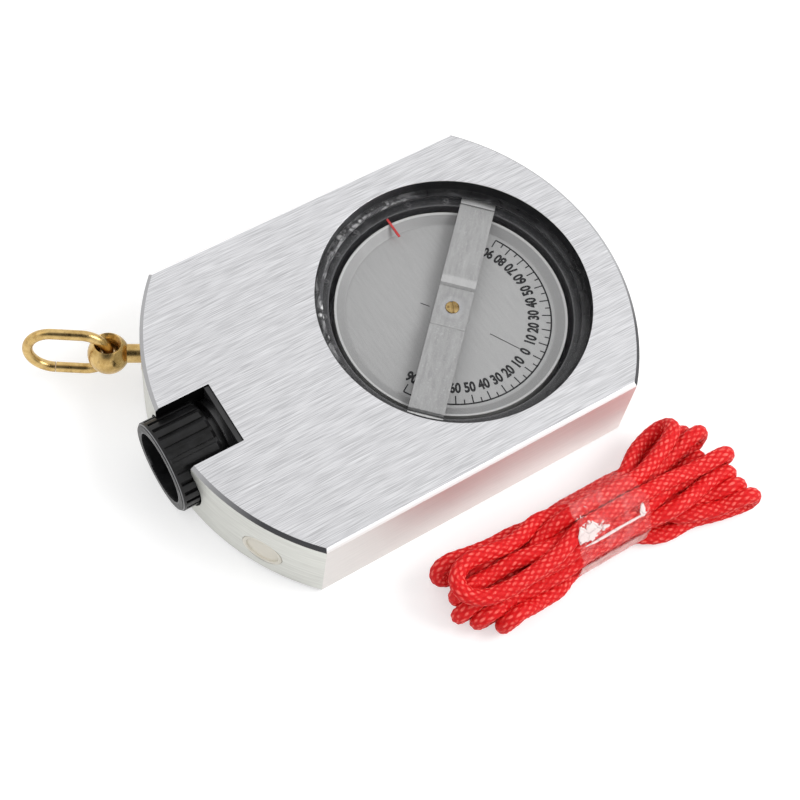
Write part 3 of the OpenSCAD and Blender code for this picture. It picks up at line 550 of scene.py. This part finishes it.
def tapeOutline(size, centre):
    # the outline that a stretched film takes round the strands, seen along x, with its outward normals
    inside = centre[(centre[:, 0] > size["inside"][0]) & (centre[:, 0] < size["inside"][1])]
    middle = np.array([inside[:, 1].mean(), inside[:, 2].mean()])
    theta = np.linspace(0, 2 * np.pi, size["facings"], endpoint=False)
    facing = np.stack([np.cos(theta), np.sin(theta)], 1)
    across = np.stack([-np.sin(theta), np.cos(theta)], 1)
    reach = ((inside[:, 1:] - middle) @ facing.T).max(0) + cordSize["diameter"] / 2 + size["clearance"]
    slope = np.gradient(np.r_[reach[-1], reach, reach[0]])[1:-1] / (theta[1] - theta[0])
    hull = middle + reach[:, None] * facing + slope[:, None] * across
    outline = evenly(np.vstack([hull, hull[:1]]), size["around"] + 1)[0][:-1]
    onward = np.roll(outline, -1, 0) - np.roll(outline, 1, 0)
    outward = np.stack([onward[:, 1], -onward[:, 0]], 1) / np.linalg.norm(onward, axis=1)[:, None]
    return outline, outward


def makeTape(size, centre):
    # two skins along the outline, with loose wrinkles, closed at both edges
    outline, outward = tapeOutline(size, centre)
    lengths, around = size["lengths"], size["around"]
    theta = np.linspace(0, 2 * np.pi, around, endpoint=False)
    left, right = (size[end][0] + size[end][1] * outward[:, 0] for end in ("left", "right"))
    ragged = sum(deep * np.sin(turns * theta + start) for deep, turns, start in size["ragged"])
    full = sum(wave[0] for wave in size["waves"])
    points, uvs, faces = [], [], []
    for layer in (0, 1):
        for i in range(lengths):
            s = i / (lengths - 1)
            x = left * (1 - s) + right * s + ragged * (2 * s - 1)
            wave = sum(share * np.sin(turns * theta + onward * s + start)
                       for share, turns, onward, start in size["waves"]) / full
            out = size["wrinkle"] * (wave * 0.5 + 0.5) + size["thickness"] * layer
            yz = outline + outward * out[:, None]
            yz[:, 1] = np.maximum(yz[:, 1], size["floorGap"][layer])
            points += [(x[k], yz[k, 0], yz[k, 1]) for k in range(around)]

    def corner(layer, i, k):
        return (layer * lengths + i) * around + k % around

    def uvOf(i, k):
        return (i / (lengths - 1), k / around)

    for i in range(lengths - 1):
        for k in range(around):
            outer = [(i, k), (i, k + 1), (i + 1, k + 1), (i + 1, k)]
            faces.append([corner(1, *c) for c in outer][::-1])
            uvs += [uvOf(*c) for c in outer[::-1]]
            faces.append([corner(0, *c) for c in outer])
            uvs += [uvOf(*c) for c in outer]
    for i, way in ((0, 1), (lengths - 1, -1)):
        for k in range(around):
            quad = [(1, i, k), (1, i, k + 1), (0, i, k + 1), (0, i, k)][::way]
            faces.append([corner(*c) for c in quad])
            uvs += [uvOf(c[1], c[2]) for c in quad]
    tape = meshPiece("waist_tape", np.array(points) * mm, faces, tapeFinish(tapeLook), uvs=uvs)
    work = bmesh.new()
    work.from_mesh(tape.data)
    bmesh.ops.recalc_face_normals(work, faces=work.faces)
    work.to_mesh(tape.data)
    work.free()
    return tape


tape = makeTape(tapeSize, cordCentre)
for piece, node, slotName in ((cord, "lanyard_hank", "red_cord"), (tape, "hank_tape", "clear_tape")):
    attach(piece, "cord")
    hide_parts(node)
print("tape wrapped")


# finishes of the CAD nodes; their sizes are in metres

photoLeft = (-0.64, 0.77)        # the photo's left, as a heading on the dial


def fromDial(at):
    # the place seen from the dial's axis, its x and y there, and its distance from the axis
    centre = {"Vector": at, "Location": (dialCentreX * mm, 0, 0)}
    centred = addNode(at.id_data, "ShaderNodeMapping", centre, vector_type="TEXTURE").outputs[0]
    x, y = along(centred, 0), along(centred, 1)
    return centred, x, y, lengthOf(x, y)


def towardsLeft(x, y, far, low, high):
    # 1 on the dial's left side as the photo shows it, 0 elsewhere
    facing = maths("DIVIDE", plus(times(x, photoLeft[0]), times(y, photoLeft[1])), far)
    return ramp(facing, low, high, smooth=True)


bodyLook = dict(
    face=((0.56, 0.56, 0.575), (0.78, 0.78, 0.80)), faceFrom=(0.40, 0.58), scratchShare=0.50,
    scratch=(0.93, 0.93, 0.95), groove=(0.38, 0.38, 0.395), roughness=0.48,
    faceRougher=-0.20, strokeRougher=0.06,
    arc=((0.60, 0.605, 0.57), (0.68, 0.685, 0.65)), arcCloud=(0.74, 0.745, 0.70),
    # longSidePaintedLight: the painted reflection on the long sides, from the eyepiece end to the other
    longSidePaintedLight=((0.72, 0.695, 0.675), (1.0, 0.95, 0.925)), longX=(-0.028, 0.034), lathe=(0.40, 0.38, 0.37),
    arcEdgeShade=((0.42, 0.42, 0.43), (0.085, 0.085, 0.09)), arcEdgeTurn=(-0.12, -0.34),
    longEdgeHighlight=((0.86, 0.83, 0.82), (0.97, 0.97, 0.98)),
    topEdgeZ=(0.01462, 0.01478), slot=(0.02, 0.02, 0.021), slotHalf=(0.00522, 0.00523),
    slotRadius=(0.00747, 0.00748), slotX=(-0.02844, -0.02843), slotAxisZ=0.0075,
    bore=((0.050, 0.050, 0.053), (0.17, 0.17, 0.18)), boreLitSide=(0.45, 0.95), boreRadius=(0.02128, 0.02132),
    boreFloorZ=(0.001, 0.0011), boreTopZ=(0.01488, 0.01492))


def aluminium(look):
    material, at = finish("brushedAluminium", {"Metallic": 1.0, "Specular IOR Level": 0.5})
    tree = material.node_tree
    normal = addNode(tree, "ShaderNodeTexCoord").outputs["Normal"]
    x, y, z = (along(at, axis) for axis in (0, 1, 2))
    flatness, sideways = absolute(along(normal, 2)), absolute(along(normal, 1))
    isFace = ramp(flatness, 0.90, 0.97)
    isChamfer = times(ramp(flatness, 0.35, 0.5), fade(flatness, 0.85, 0.95))

    # the brushed face: fine and broad strokes, then pale scratches and dark grooves
    fine = noise(at, (170, 8200, 8200), detail=2, rough=0.6)
    broad = noise(at, (30, 2400, 2400), rough=0.6, place=(2, 5, 3))
    scratch = ramp(noise(at, (150, 6600, 6600), detail=1, place=(3, 7, 1)), 0.58, 0.68)
    groove = ramp(noise(at, (160, 7200, 7200), detail=1, place=(9, 1, 4)), 0.57, 0.67)
    streak = plus(times(fine, 0.75), times(broad, 0.25))
    faceColour = tones(streak, *look["face"], *look["faceFrom"])
    faceColour = blend(times(scratch, look["scratchShare"]), faceColour, look["scratch"])
    faceColour = blend(times(groove, look["scratchShare"]), faceColour, look["groove"])

    # the turned ends and the long flat sides; the long sides are painted darker towards the eyepiece end and
    # brighter and pinker towards the other, as painted reflection of the floor and the red cord
    turned = noise(at, (160, 160, 3200), rough=0.6)
    cloud = noise(at, 60, detail=2)
    sideColour = tones(turned, *look["arc"], high=0.65)
    sideColour = blend(ramp(cloud, 0.4, 0.65, 0.0, 0.4), sideColour, look["arcCloud"])
    longSideLight = blend(ramp(x, *look["longX"]), *look["longSidePaintedLight"])
    sideColour = blend(ramp(sideways, 0.93, 0.97), sideColour, longSideLight)
    sideColour = blend(ramp(turned, 0.35, 0.65, 0.10, 0.0), sideColour, look["lathe"])

    # the chamfers carry painted light: a painted dark reflection on the end arcs' chamfers, and a painted
    # highlight on the upper part of the long sides' chamfers
    arcEdgeShade = blend(ramp(along(normal, 1), *look["arcEdgeTurn"]), *look["arcEdgeShade"])
    longEdgeHighlight = blend(ramp(z, *look["topEdgeZ"]), *look["longEdgeHighlight"])
    chamferLightAndShade = blend(ramp(sideways, 0.69, 0.70), arcEdgeShade, longEdgeHighlight)
    colour = blend(isFace, sideColour, faceColour)
    colour = blend(isChamfer, colour, chamferLightAndShade)

    # the eyepiece's slot and the capsule's bore are coloured near black; the bore's wall is painted paler on
    # the dial's left side, as light falling on it
    fromAxis = lengthOf(y, minus(z, look["slotAxisZ"]))
    inSlot = larger(fade(absolute(y), *look["slotHalf"]), fade(fromAxis, *look["slotRadius"]))
    inSlot = times(inSlot, fade(x, *look["slotX"]))
    dialX, dialY, far = fromDial(at)[1:]
    inBore = times(fade(far, *look["boreRadius"]), ramp(z, *look["boreFloorZ"]), fade(z, *look["boreTopZ"]))
    boreColour = blend(towardsLeft(dialX, dialY, far, *look["boreLitSide"]), *look["bore"])
    colour = blend(inSlot, colour, look["slot"])
    colour = blend(inBore, colour, boreColour)

    rough = plus(times(isFace, look["faceRougher"]), look["roughness"], times(streak, look["strokeRougher"]))
    depth = plus(times(isFace, streak), times(minus(1.0, isFace), turned, 0.35))
    return coat(material, colour, (depth, 0.00002, 0.5), edge=0.00012, Roughness=rough)


def moulded(name, dark, pale, roughness, metallic=0.0, grain=900, depth=0.00003, edge=0.00015):
    # plastics, rubber and paint: a mottled colour, a fine grain and softly rounded edges
    material, at = finish(name, {"Metallic": metallic})
    mottled = noise(at, grain * 0.25)
    pores = noise(at, grain * 4, detail=2)
    colour = tones(mottled, dark, pale)
    return coat(material, colour, (pores, depth, 0.6), (mottled, roughness * 0.85, roughness * 1.2), edge)


# marks: where along or round the strip, half their width, how strong, and the colour; the two lengthways
# marks are painted highlights by the dish's folds
stripLook = dict(
    plain=(0.37, 0.47), speck=0.62, heading=-45,
    marks=(("lengthways", 0.0045, 0.0011, 0.45, 0.72),
           ("lengthways", -0.0036, 0.0004, 0.22, 0.60),
           ("ring", 0.0023, 0.0005, 0.12, (0.24, 0.24, 0.25))),
    # lip: the bent ends painted paler as light; crease: a dark line painted at each bend as shade
    dish=(0.56, 0.56, 0.60), dishRadius=(0.0011, 0.0021), lip=0.75, lipFrom=(0.0190, 0.0192),
    crease=0.10, creaseHalf=0.00016)


def stripMetal(look):
    # the bridge strips run at 45 degrees; dark crease lines are painted across them as shade where they are
    # bent, and their bent ends painted paler as light
    material, at = finish("bridgeStrip", {"Metallic": 0.55, "Specular IOR Level": 0.5})
    tree = material.node_tree
    turned = addNode(tree, "ShaderNodeMapping", {
        "Vector": fromDial(at)[0], "Rotation": (0, 0, math.radians(look["heading"]))}).outputs[0]
    lengthways, across = along(turned, 0), along(turned, 1)
    runs = {"lengthways": lengthways, "ring": lengthOf(lengthways, across)}
    grain = noise(turned, (260, 1500, 1500), detail=4, rough=0.7)
    specks = ramp(noise(turned, 2600, detail=1), 0.62, 0.70)
    colour = tones(grain, *look["plain"])
    colour = blend(times(specks, 0.35), colour, look["speck"])

    def marked(colour, run, centre, half, share, tint):
        gap = absolute(minus(runs[run], centre))
        onMark = times(fade(gap, half * 0.4, half, smooth=True), share)
        return blend(onMark, colour, tint)

    # the first two marks paint highlights beside the dish's folds
    for mark in look["marks"]:
        colour = marked(colour, *mark)
    inDish = ramp(runs["ring"], *look["dishRadius"], 0.35, 0.0)
    # painted light on the bent ends, painted shade in a crease line at each bend
    litLipMask = ramp(absolute(lengthways), *look["lipFrom"], 0.0, 0.75)
    colour = blend(inDish, colour, look["dish"])
    colour = blend(litLipMask, colour, look["lip"])
    for end in (look["lipFrom"][0], -look["lipFrom"][0]):
        colour = marked(colour, "lengthways", end, look["creaseHalf"], 0.8, look["crease"])
    return coat(material, colour, (grain, 0.00002, 0.5), (grain, 0.36, 0.50), edge=0.00008)


def turnedMetal(name, dark, pale, roughness, tarnish):
    material, at = finish(name, {"Metallic": 1.0})
    cloud = noise(at, 520, detail=4, rough=0.6)
    lathe = noise(at, 5200, detail=2)
    stain = ramp(noise(at, 1400, detail=2), 0.56, 0.74, 0.0, tarnish)
    colour = tones(cloud, dark, pale, high=0.7)
    colour = blend(stain, colour, (0.16, 0.09, 0.04))
    rough = (cloud, roughness * 0.8, roughness * 1.25)
    return coat(material, colour, (lathe, 0.000012, 0.5), rough, edge=0.0001)


# flat grey disc, a sloping band painted darker as shade, a thin rim line painted bright as a highlight, and a
# pale skirt, by the distance from the axis
dialLook = dict(
    disc=(0.42, 0.46), slope=0.345, slopeFrom=(0.01585, 0.01665),
    rim=0.62, rimFrom=(0.01765, 0.0177), rimTo=(0.01795, 0.01800),
    skirt=(0.60, 0.60, 0.58), skirtFrom=(0.01798, 0.01802))


def dialFinish(look):
    material, at = finish("dialGrey", {"Metallic": 0.15, "Specular IOR Level": 0.4})
    centred, _, _, far = fromDial(at)
    brushed = noise(centred, (2200, 260, 800), turn=math.radians(35))
    colour = tones(brushed, *look["disc"])
    # painted shade on the sloping band, then a painted highlight on the rim line
    colour = blend(ramp(far, *look["slopeFrom"], smooth=True), colour, look["slope"])
    onRimHighlight = times(ramp(far, *look["rimFrom"]), fade(far, *look["rimTo"]))
    colour = blend(onRimHighlight, colour, look["rim"])
    colour = blend(ramp(far, *look["skirtFrom"]), colour, look["skirt"])
    return coat(material, colour, (brushed, 0.000015, 0.4), (brushed, 0.42, 0.55))


def clearFinish(name, tint, alpha, roughness, ior=1.49):
    # a clear plastic or glass, faintly hazy and hair scratched
    material, at = finish(name, {"Alpha": alpha, "IOR": ior, "Specular IOR Level": 0.5})
    haze = noise(at, 300)
    hair = ramp(noise(at, (90, 5200, 5200), detail=1, turn=0.7), 0.66, 0.72)
    colour = tones(haze, tint, [min(1.0, c * 1.08) for c in tint], high=0.7)
    colour = blend(times(hair, 0.25), colour, 1.0)
    return coat(material, colour, (haze, 0.00002, 0.2), (haze, roughness * 0.8, roughness * 1.3))


# paleCircles: the radius and half width of each thin pale circle
eyepieceLook = dict(
    black=(0.005, (0.011, 0.011, 0.012)), circlePale=(0.36, 0.36, 0.37), axisZ=0.0075,
    paleCircles=((0.00702, 0.00007), (0.00570, 0.00005)), endX=(-0.03905, -0.03935))


def eyepieceBlack(look):
    # ribbed black ring; the end face carries two thin pale circles
    material, at = finish("eyepieceBlack", {"Specular IOR Level": 0.26})
    far = lengthOf(along(at, 1), minus(along(at, 2), look["axisZ"]))
    mottled = noise(at, (420, 900, 900))
    colour = tones(mottled, *look["black"])

    def circle(radius, half):
        gap = absolute(minus(far, radius))
        return fade(plus(gap, times(mottled, half * 0.8)), half, half * 1.5)

    circlePale = times(larger(*(circle(*ring) for ring in look["paleCircles"])),
                   ramp(along(at, 0), *look["endX"]), 0.75)
    colour = blend(circlePale, colour, look["circlePale"])
    return coat(material, colour, (mottled, 0.00004, 0.35), (mottled, 0.28, 0.42), edge=0.00022)


capsuleBlack = ((0.030, 0.030, 0.032), (0.050, 0.050, 0.053))


def linerBlack():
    # a swollen dark wall with dust on it; a highlight is painted on where its pips and steps have edges
    material, at = finish("linerBlack", {"Specular IOR Level": 0.6})
    tree = material.node_tree
    swell = noise(at, (260, 260, 420), distortion=0.8)
    dust = ramp(noise(at, 2400, detail=1), 0.69, 0.76)
    real = addNode(tree, "ShaderNodeNewGeometry").outputs["Normal"]
    bent = dot(rounded(tree, 0.0005), real)
    colour = tones(swell, *capsuleBlack, high=0.7)
    colour = blend(times(dust, 0.35), colour, (0.14, 0.14, 0.13))
    edgeHighlight = ramp(bent, 0.985, 0.90, 0.0, 0.8)
    colour = blend(edgeHighlight, colour, (0.19, 0.19, 0.195))
    return coat(material, colour, (swell, 0.0004, 0.7), (swell, 0.30, 0.45))


sealLook = dict(
    # sheen, sheenFrom and sheenShare: a painted sheen of streaky highlights; bubbleHighlight and bubbleShade:
    # each bubble's painted glint and dark shell; outer: painted shade along the outer edge
    sheen=((0.10, 0.10, 0.105), (0.60, 0.60, 0.61)), sheenFrom=(0.45, 0.80), sheenShare=0.9, bubbleScale=620.0,
    bubbleHighlight=0.98, bubbleRadius=(0.20, 0.32), bubbleShade=0.02, shellFrom=(0.32, 0.38),
    shellTo=(0.44, 0.52), outer=0.012, outerFrom=(0.02035, 0.02050))


def sealBlack(look):
    # the seal ring shines through the window; on one side a streaky sheen is painted on as a highlight, with
    # the trapped bubbles painted as bright glints in dark shells of painted shade
    material, at = finish("sealBlack", {"Specular IOR Level": 0.5})
    tree = material.node_tree
    _, x, y, far = fromDial(at)
    swell = noise(at, 300, distortion=1.0)
    around = addNode(tree, "ShaderNodeCombineXYZ", {0: maths("ARCTAN2", y, x), 1: far}).outputs[0]
    streaks = noise(around, (7.0, 1000, 1), detail=2, distortion=0.9)
    sheenMask = times(towardsLeft(x, y, far, *look["sheenFrom"]), ramp(swell, 0.30, 0.50, 0.6, 1.0))
    colour = tones(swell, *capsuleBlack, high=0.7)
    sheen = blend(ramp(streaks, 0.46, 0.68, smooth=True), *look["sheen"])
    colour = blend(times(sheenMask, look["sheenShare"]), colour, sheen)
    voronoi = addNode(tree, "ShaderNodeTexVoronoi", {"Vector": at, "Scale": look["bubbleScale"]})
    cells = voronoi.outputs["Distance"]
    strewn = ramp(noise(at, 420, detail=1, place=(4, 2, 6)), 0.47, 0.52)
    where = times(strewn, ramp(sheenMask, 0.30, 0.55))
    bubbleHighlight = times(fade(cells, *look["bubbleRadius"], smooth=True), where)
    bubbleShade = times(ramp(cells, *look["shellFrom"]), fade(cells, *look["shellTo"]), where)
    colour = blend(times(bubbleShade, 0.7), colour, look["bubbleShade"])
    colour = blend(bubbleHighlight, colour, look["bubbleHighlight"])
    # painted shade along the outer edge, under the bore's rim
    colour = blend(ramp(far, *look["outerFrom"], 0.0, 0.6), colour, look["outer"])
    return coat(material, colour, (swell, 0.0005, 0.5), (swell, 0.25, 0.40))


# each finish with the nodes that wear it
wornBy = (
    (aluminium(bodyLook), "body_block"),
    (moulded("platePaint", (0.58, 0.58, 0.57), (0.66, 0.66, 0.65), 0.40, metallic=0.4, grain=700),
     "rear_plate"),
    (clearFinish("cupClear", (0.30, 0.31, 0.32), 0.16, 0.10), "capsule_cup"),
    (clearFinish("windowClear", (0.05, 0.05, 0.055), 0.05, 0.05), "capsule_window"),
    (clearFinish("lensGlass", (0.55, 0.62, 0.70), 0.25, 0.03, ior=1.52), "eyepiece_lens hairline_plate"),
    (linerBlack(), "capsule_liner"),
    (sealBlack(sealLook), "capsule_seal"),
    (dialFinish(dialLook), "scale_wheel"),
    (stripMetal(stripLook), "front_bridge rear_bridge"),
    (eyepieceBlack(eyepieceLook), "focus_ring"),
    (moulded("redLine", (0.62, 0.03, 0.035), (0.74, 0.06, 0.06), 0.35, grain=3000), "index_line"),
    (moulded("rubyJewel", (0.45, 0.01, 0.03), (0.65, 0.03, 0.06), 0.08, grain=2400),
     "front_jewel rear_jewel"),
    (moulded("creamPlug", (0.74, 0.70, 0.60), (0.86, 0.82, 0.72), 0.38,
             grain=500, depth=0.00004, edge=0.0002), "end_plug"),
    (moulded("sealRubber", 0.012, 0.03, 0.5, grain=1800), "eyepiece_seal"),
    (moulded("blackPlastic", (0.014, 0.014, 0.015), (0.030, 0.030, 0.031), 0.30, grain=1400, edge=0.00012),
     "eyepiece_bushing lens_cell lens_retainer"),
    (turnedMetal("goldBrass", (0.47, 0.30, 0.10), (0.76, 0.55, 0.24), 0.27, 0.40),
     "swivel_bushing swivel_eye lanyard_ring wheel_hub wheel_weight"),
    (turnedMetal("screwBrass", (0.24, 0.15, 0.05), (0.66, 0.47, 0.20), 0.30, 0.9),
     "front_bearing_screw rear_bearing_screw"),
    (turnedMetal("steelTurned", (0.42, 0.42, 0.43), (0.62, 0.62, 0.63), 0.28, 0.1),
     "pivot_shaft cell_key_pin cell_snap_ring capsule_set_screw swivel_clip"),
)
finishes = {name: material for material, names in wornBy for name in names.split()}
for name, material in finishes.items():
    nodes[name].material_slots[0].material = material
print("finishes set on", len(finishes), "nodes; left:", sorted(set(nodes) - set(finishes)))


# what is printed on the dial: angles in degrees, the rest in mm

scale = dict(zero=-60.0, sweepFrom=-90, tickStep=5, ticks=37, numberStep=10, highest=90,
             arc=15.65, arcPoints=181, longTick=1.45, shortTick=0.78, width=0.19, arcWidth=0.25,
             height=0.02, z=10.006,
             numbers=12.95, digit=2.3, narrow=0.76, bold=0.043,
             lineWidth=0.13, lines=((0, 6.8, 11.9), (188, 3.5, 5.0)))


def inkFinish():
    material, at = finish("printInk", {"Specular IOR Level": 0.3})
    grain = noise(at, 6000, detail=2)
    colour = tones(grain, (0.008, 0.008, 0.009), (0.028, 0.028, 0.03), 0.3, 0.75)
    return coat(material, colour, rough=(grain, 0.4, 0.6))


ink = inkFinish()


def tickTree():
    # a ring of long and short marks and an arc, ending in realised instances with a material
    tree = bpy.data.node_groups.new("dialTicks", "GeometryNodeTree")
    face = tree.interface
    face.new_socket("Geometry", in_out="OUTPUT", socket_type="NodeSocketGeometry")
    for kind, labels in (
            ("Float", ("Arc radius", "Start angle", "Step angle", "Long mark", "Short mark", "Mark width",
                       "Arc width", "Ink height")),
            ("Int", ("Marks", "Arc points")), ("Vector", ("Centre",)), ("Material", ("Ink",))):
        for label in labels:
            face.new_socket(label, in_out="INPUT", socket_type="NodeSocket" + kind)
    given = addNode(tree, "NodeGroupInput").outputs
    index = addNode(tree, "GeometryNodeInputIndex").outputs[0]
    angle = plus(given["Start angle"], times(index, given["Step angle"]))
    isLong = minus(1.0, maths("MODULO", index, 2.0))
    longer = minus(given["Long mark"], given["Short mark"])
    size = plus(given["Short mark"], times(isLong, longer))
    middle = minus(given["Arc radius"], times(size, 0.5))
    x, y = (times(middle, maths(word, angle)) for word in ("COSINE", "SINE"))
    spot = addNode(tree, "ShaderNodeCombineXYZ", {0: x, 1: y})
    points = addNode(tree, "GeometryNodePoints", {"Count": given["Marks"], "Position": spot.outputs[0]})
    bar = addNode(tree, "GeometryNodeMeshCube", {"Size": (1, 1, 1)})
    turn = addNode(tree, "ShaderNodeCombineXYZ", {2: angle})
    stretch = addNode(tree, "ShaderNodeCombineXYZ", {0: size, 1: given["Mark width"], 2: given["Ink height"]})
    marks = addNode(tree, "GeometryNodeInstanceOnPoints", {
        "Points": points.outputs[0], "Instance": bar.outputs[0], "Rotation": turn.outputs[0],
        "Scale": stretch.outputs[0]})
    sweep = times(given["Step angle"], minus(given["Marks"], 1.0))
    arc = addNode(tree, "GeometryNodeCurveArc", {
        "Resolution": given["Arc points"], "Radius": given["Arc radius"], "Start Angle": given["Start angle"],
        "Sweep Angle": sweep})
    section = addNode(tree, "GeometryNodeCurvePrimitiveQuadrilateral", {
        "Width": given["Arc width"], "Height": given["Ink height"]})
    line = addNode(tree, "GeometryNodeCurveToMesh", {
        "Curve": arc.outputs[0], "Profile Curve": section.outputs[0], "Fill Caps": True})
    joined = addNode(tree, "GeometryNodeJoinGeometry")
    for piece in (marks, line):
        tree.links.new(piece.outputs[0], joined.inputs[0])
    placed = addNode(tree, "GeometryNodeTransform", {
        "Geometry": joined.outputs[0], "Translation": given["Centre"]})
    real = addNode(tree, "GeometryNodeRealizeInstances", {"Geometry": placed.outputs[0]})
    inked = addNode(tree, "GeometryNodeSetMaterial", {"Geometry": real.outputs[0], "Material": given["Ink"]})
    addNode(tree, "NodeGroupOutput", {"Geometry": inked.outputs[0]})
    return tree


def grown(name, tree, inputs):
    # runs a tree on an empty mesh with these inputs, and keeps the plain result
    obj = linked(name, bpy.data.meshes.new(name))
    modifier = obj.modifiers.new("grow", "NODES")
    modifier.node_group = tree
    for socket in tree.interface.items_tree:
        if socket.in_out == "INPUT" and socket.name in inputs:
            modifier[socket.identifier] = inputs[socket.name]
    evaluated = obj.evaluated_get(bpy.context.evaluated_depsgraph_get())
    mesh = bpy.data.meshes.new_from_object(evaluated)
    obj.modifiers.clear()
    obj.data = mesh
    mesh.name = name
    return obj


def dialTicks(s):
    return grown("dial_ticks", tickTree(), {
        "Arc radius": s["arc"] * mm, "Start angle": math.radians(s["zero"] + s["sweepFrom"]),
        "Step angle": math.radians(s["tickStep"]), "Marks": s["ticks"], "Arc points": s["arcPoints"],
        "Long mark": s["longTick"] * mm, "Short mark": s["shortTick"] * mm, "Mark width": s["width"] * mm,
        "Arc width": s["arcWidth"] * mm, "Ink height": s["height"] * mm,
        "Centre": (dialCentreX * mm, 0, s["z"] * mm), "Ink": ink})


def onDial(radius, angle):
    # the place on the dial at that radius and angle, turned to face outward
    x, y = dialCentreX + radius * math.cos(angle), radius * math.sin(angle)
    return Matrix.Translation((x * mm, y * mm, scale["z"] * mm)) @ Matrix.Rotation(angle, 4, "Z")


def joinedMesh(name, parts, material):
    mesh = bpy.data.meshes.new(name)
    work = bmesh.new()
    for part in parts:
        work.from_mesh(part)
        bpy.data.meshes.remove(part)
    work.to_mesh(mesh)
    work.free()
    mesh.materials.clear()
    mesh.materials.append(material)
    return linked(name, mesh)


def numberMesh(words, s):
    size = s["digit"] * mm
    curve = bpy.data.curves.new("digits", "FONT")
    curve.body, curve.size = words, size
    curve.extrude, curve.offset = s["height"] * mm / 2, size * s["bold"]
    curve.align_x, curve.align_y, curve.resolution_u = "CENTER", "CENTER", 4
    holder = bpy.data.objects.new("digits", curve)
    mesh = bpy.data.meshes.new_from_object(holder)
    bpy.data.objects.remove(holder)
    bpy.data.curves.remove(curve)
    return mesh


def dialNumbers(s):
    parts = []
    stand = Matrix.Rotation(math.pi / 2, 4, "Z") @ Matrix.Diagonal((s["narrow"], 1, 1, 1))
    for value in range(-s["highest"], s["highest"] + 1, s["numberStep"]):
        mesh = numberMesh(str(abs(value)), s)
        mesh.transform(onDial(s["numbers"], math.radians(s["zero"] + value)) @ stand)
        parts.append(mesh)
    return joinedMesh("dial_numbers", parts, ink)


def barMesh(length, width, height, place):
    mesh = bpy.data.meshes.new("bar")
    work = bmesh.new()
    bmesh.ops.create_cube(work, size=1.0)
    work.to_mesh(mesh)
    work.free()
    mesh.transform(place @ Matrix.Diagonal((length * mm, width * mm, height * mm, 1)))
    return mesh


def dialLines(s):
    parts = [barMesh(outer - inner, s["lineWidth"], s["height"],
                     onDial((inner + outer) / 2, math.radians(s["zero"] + angle)))
             for angle, inner, outer in s["lines"]]
    return joinedMesh("dial_lines", parts, ink)


for piece in (dialTicks(scale), dialNumbers(scale), dialLines(scale)):
    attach(piece, "wheel")
print("dial printed")
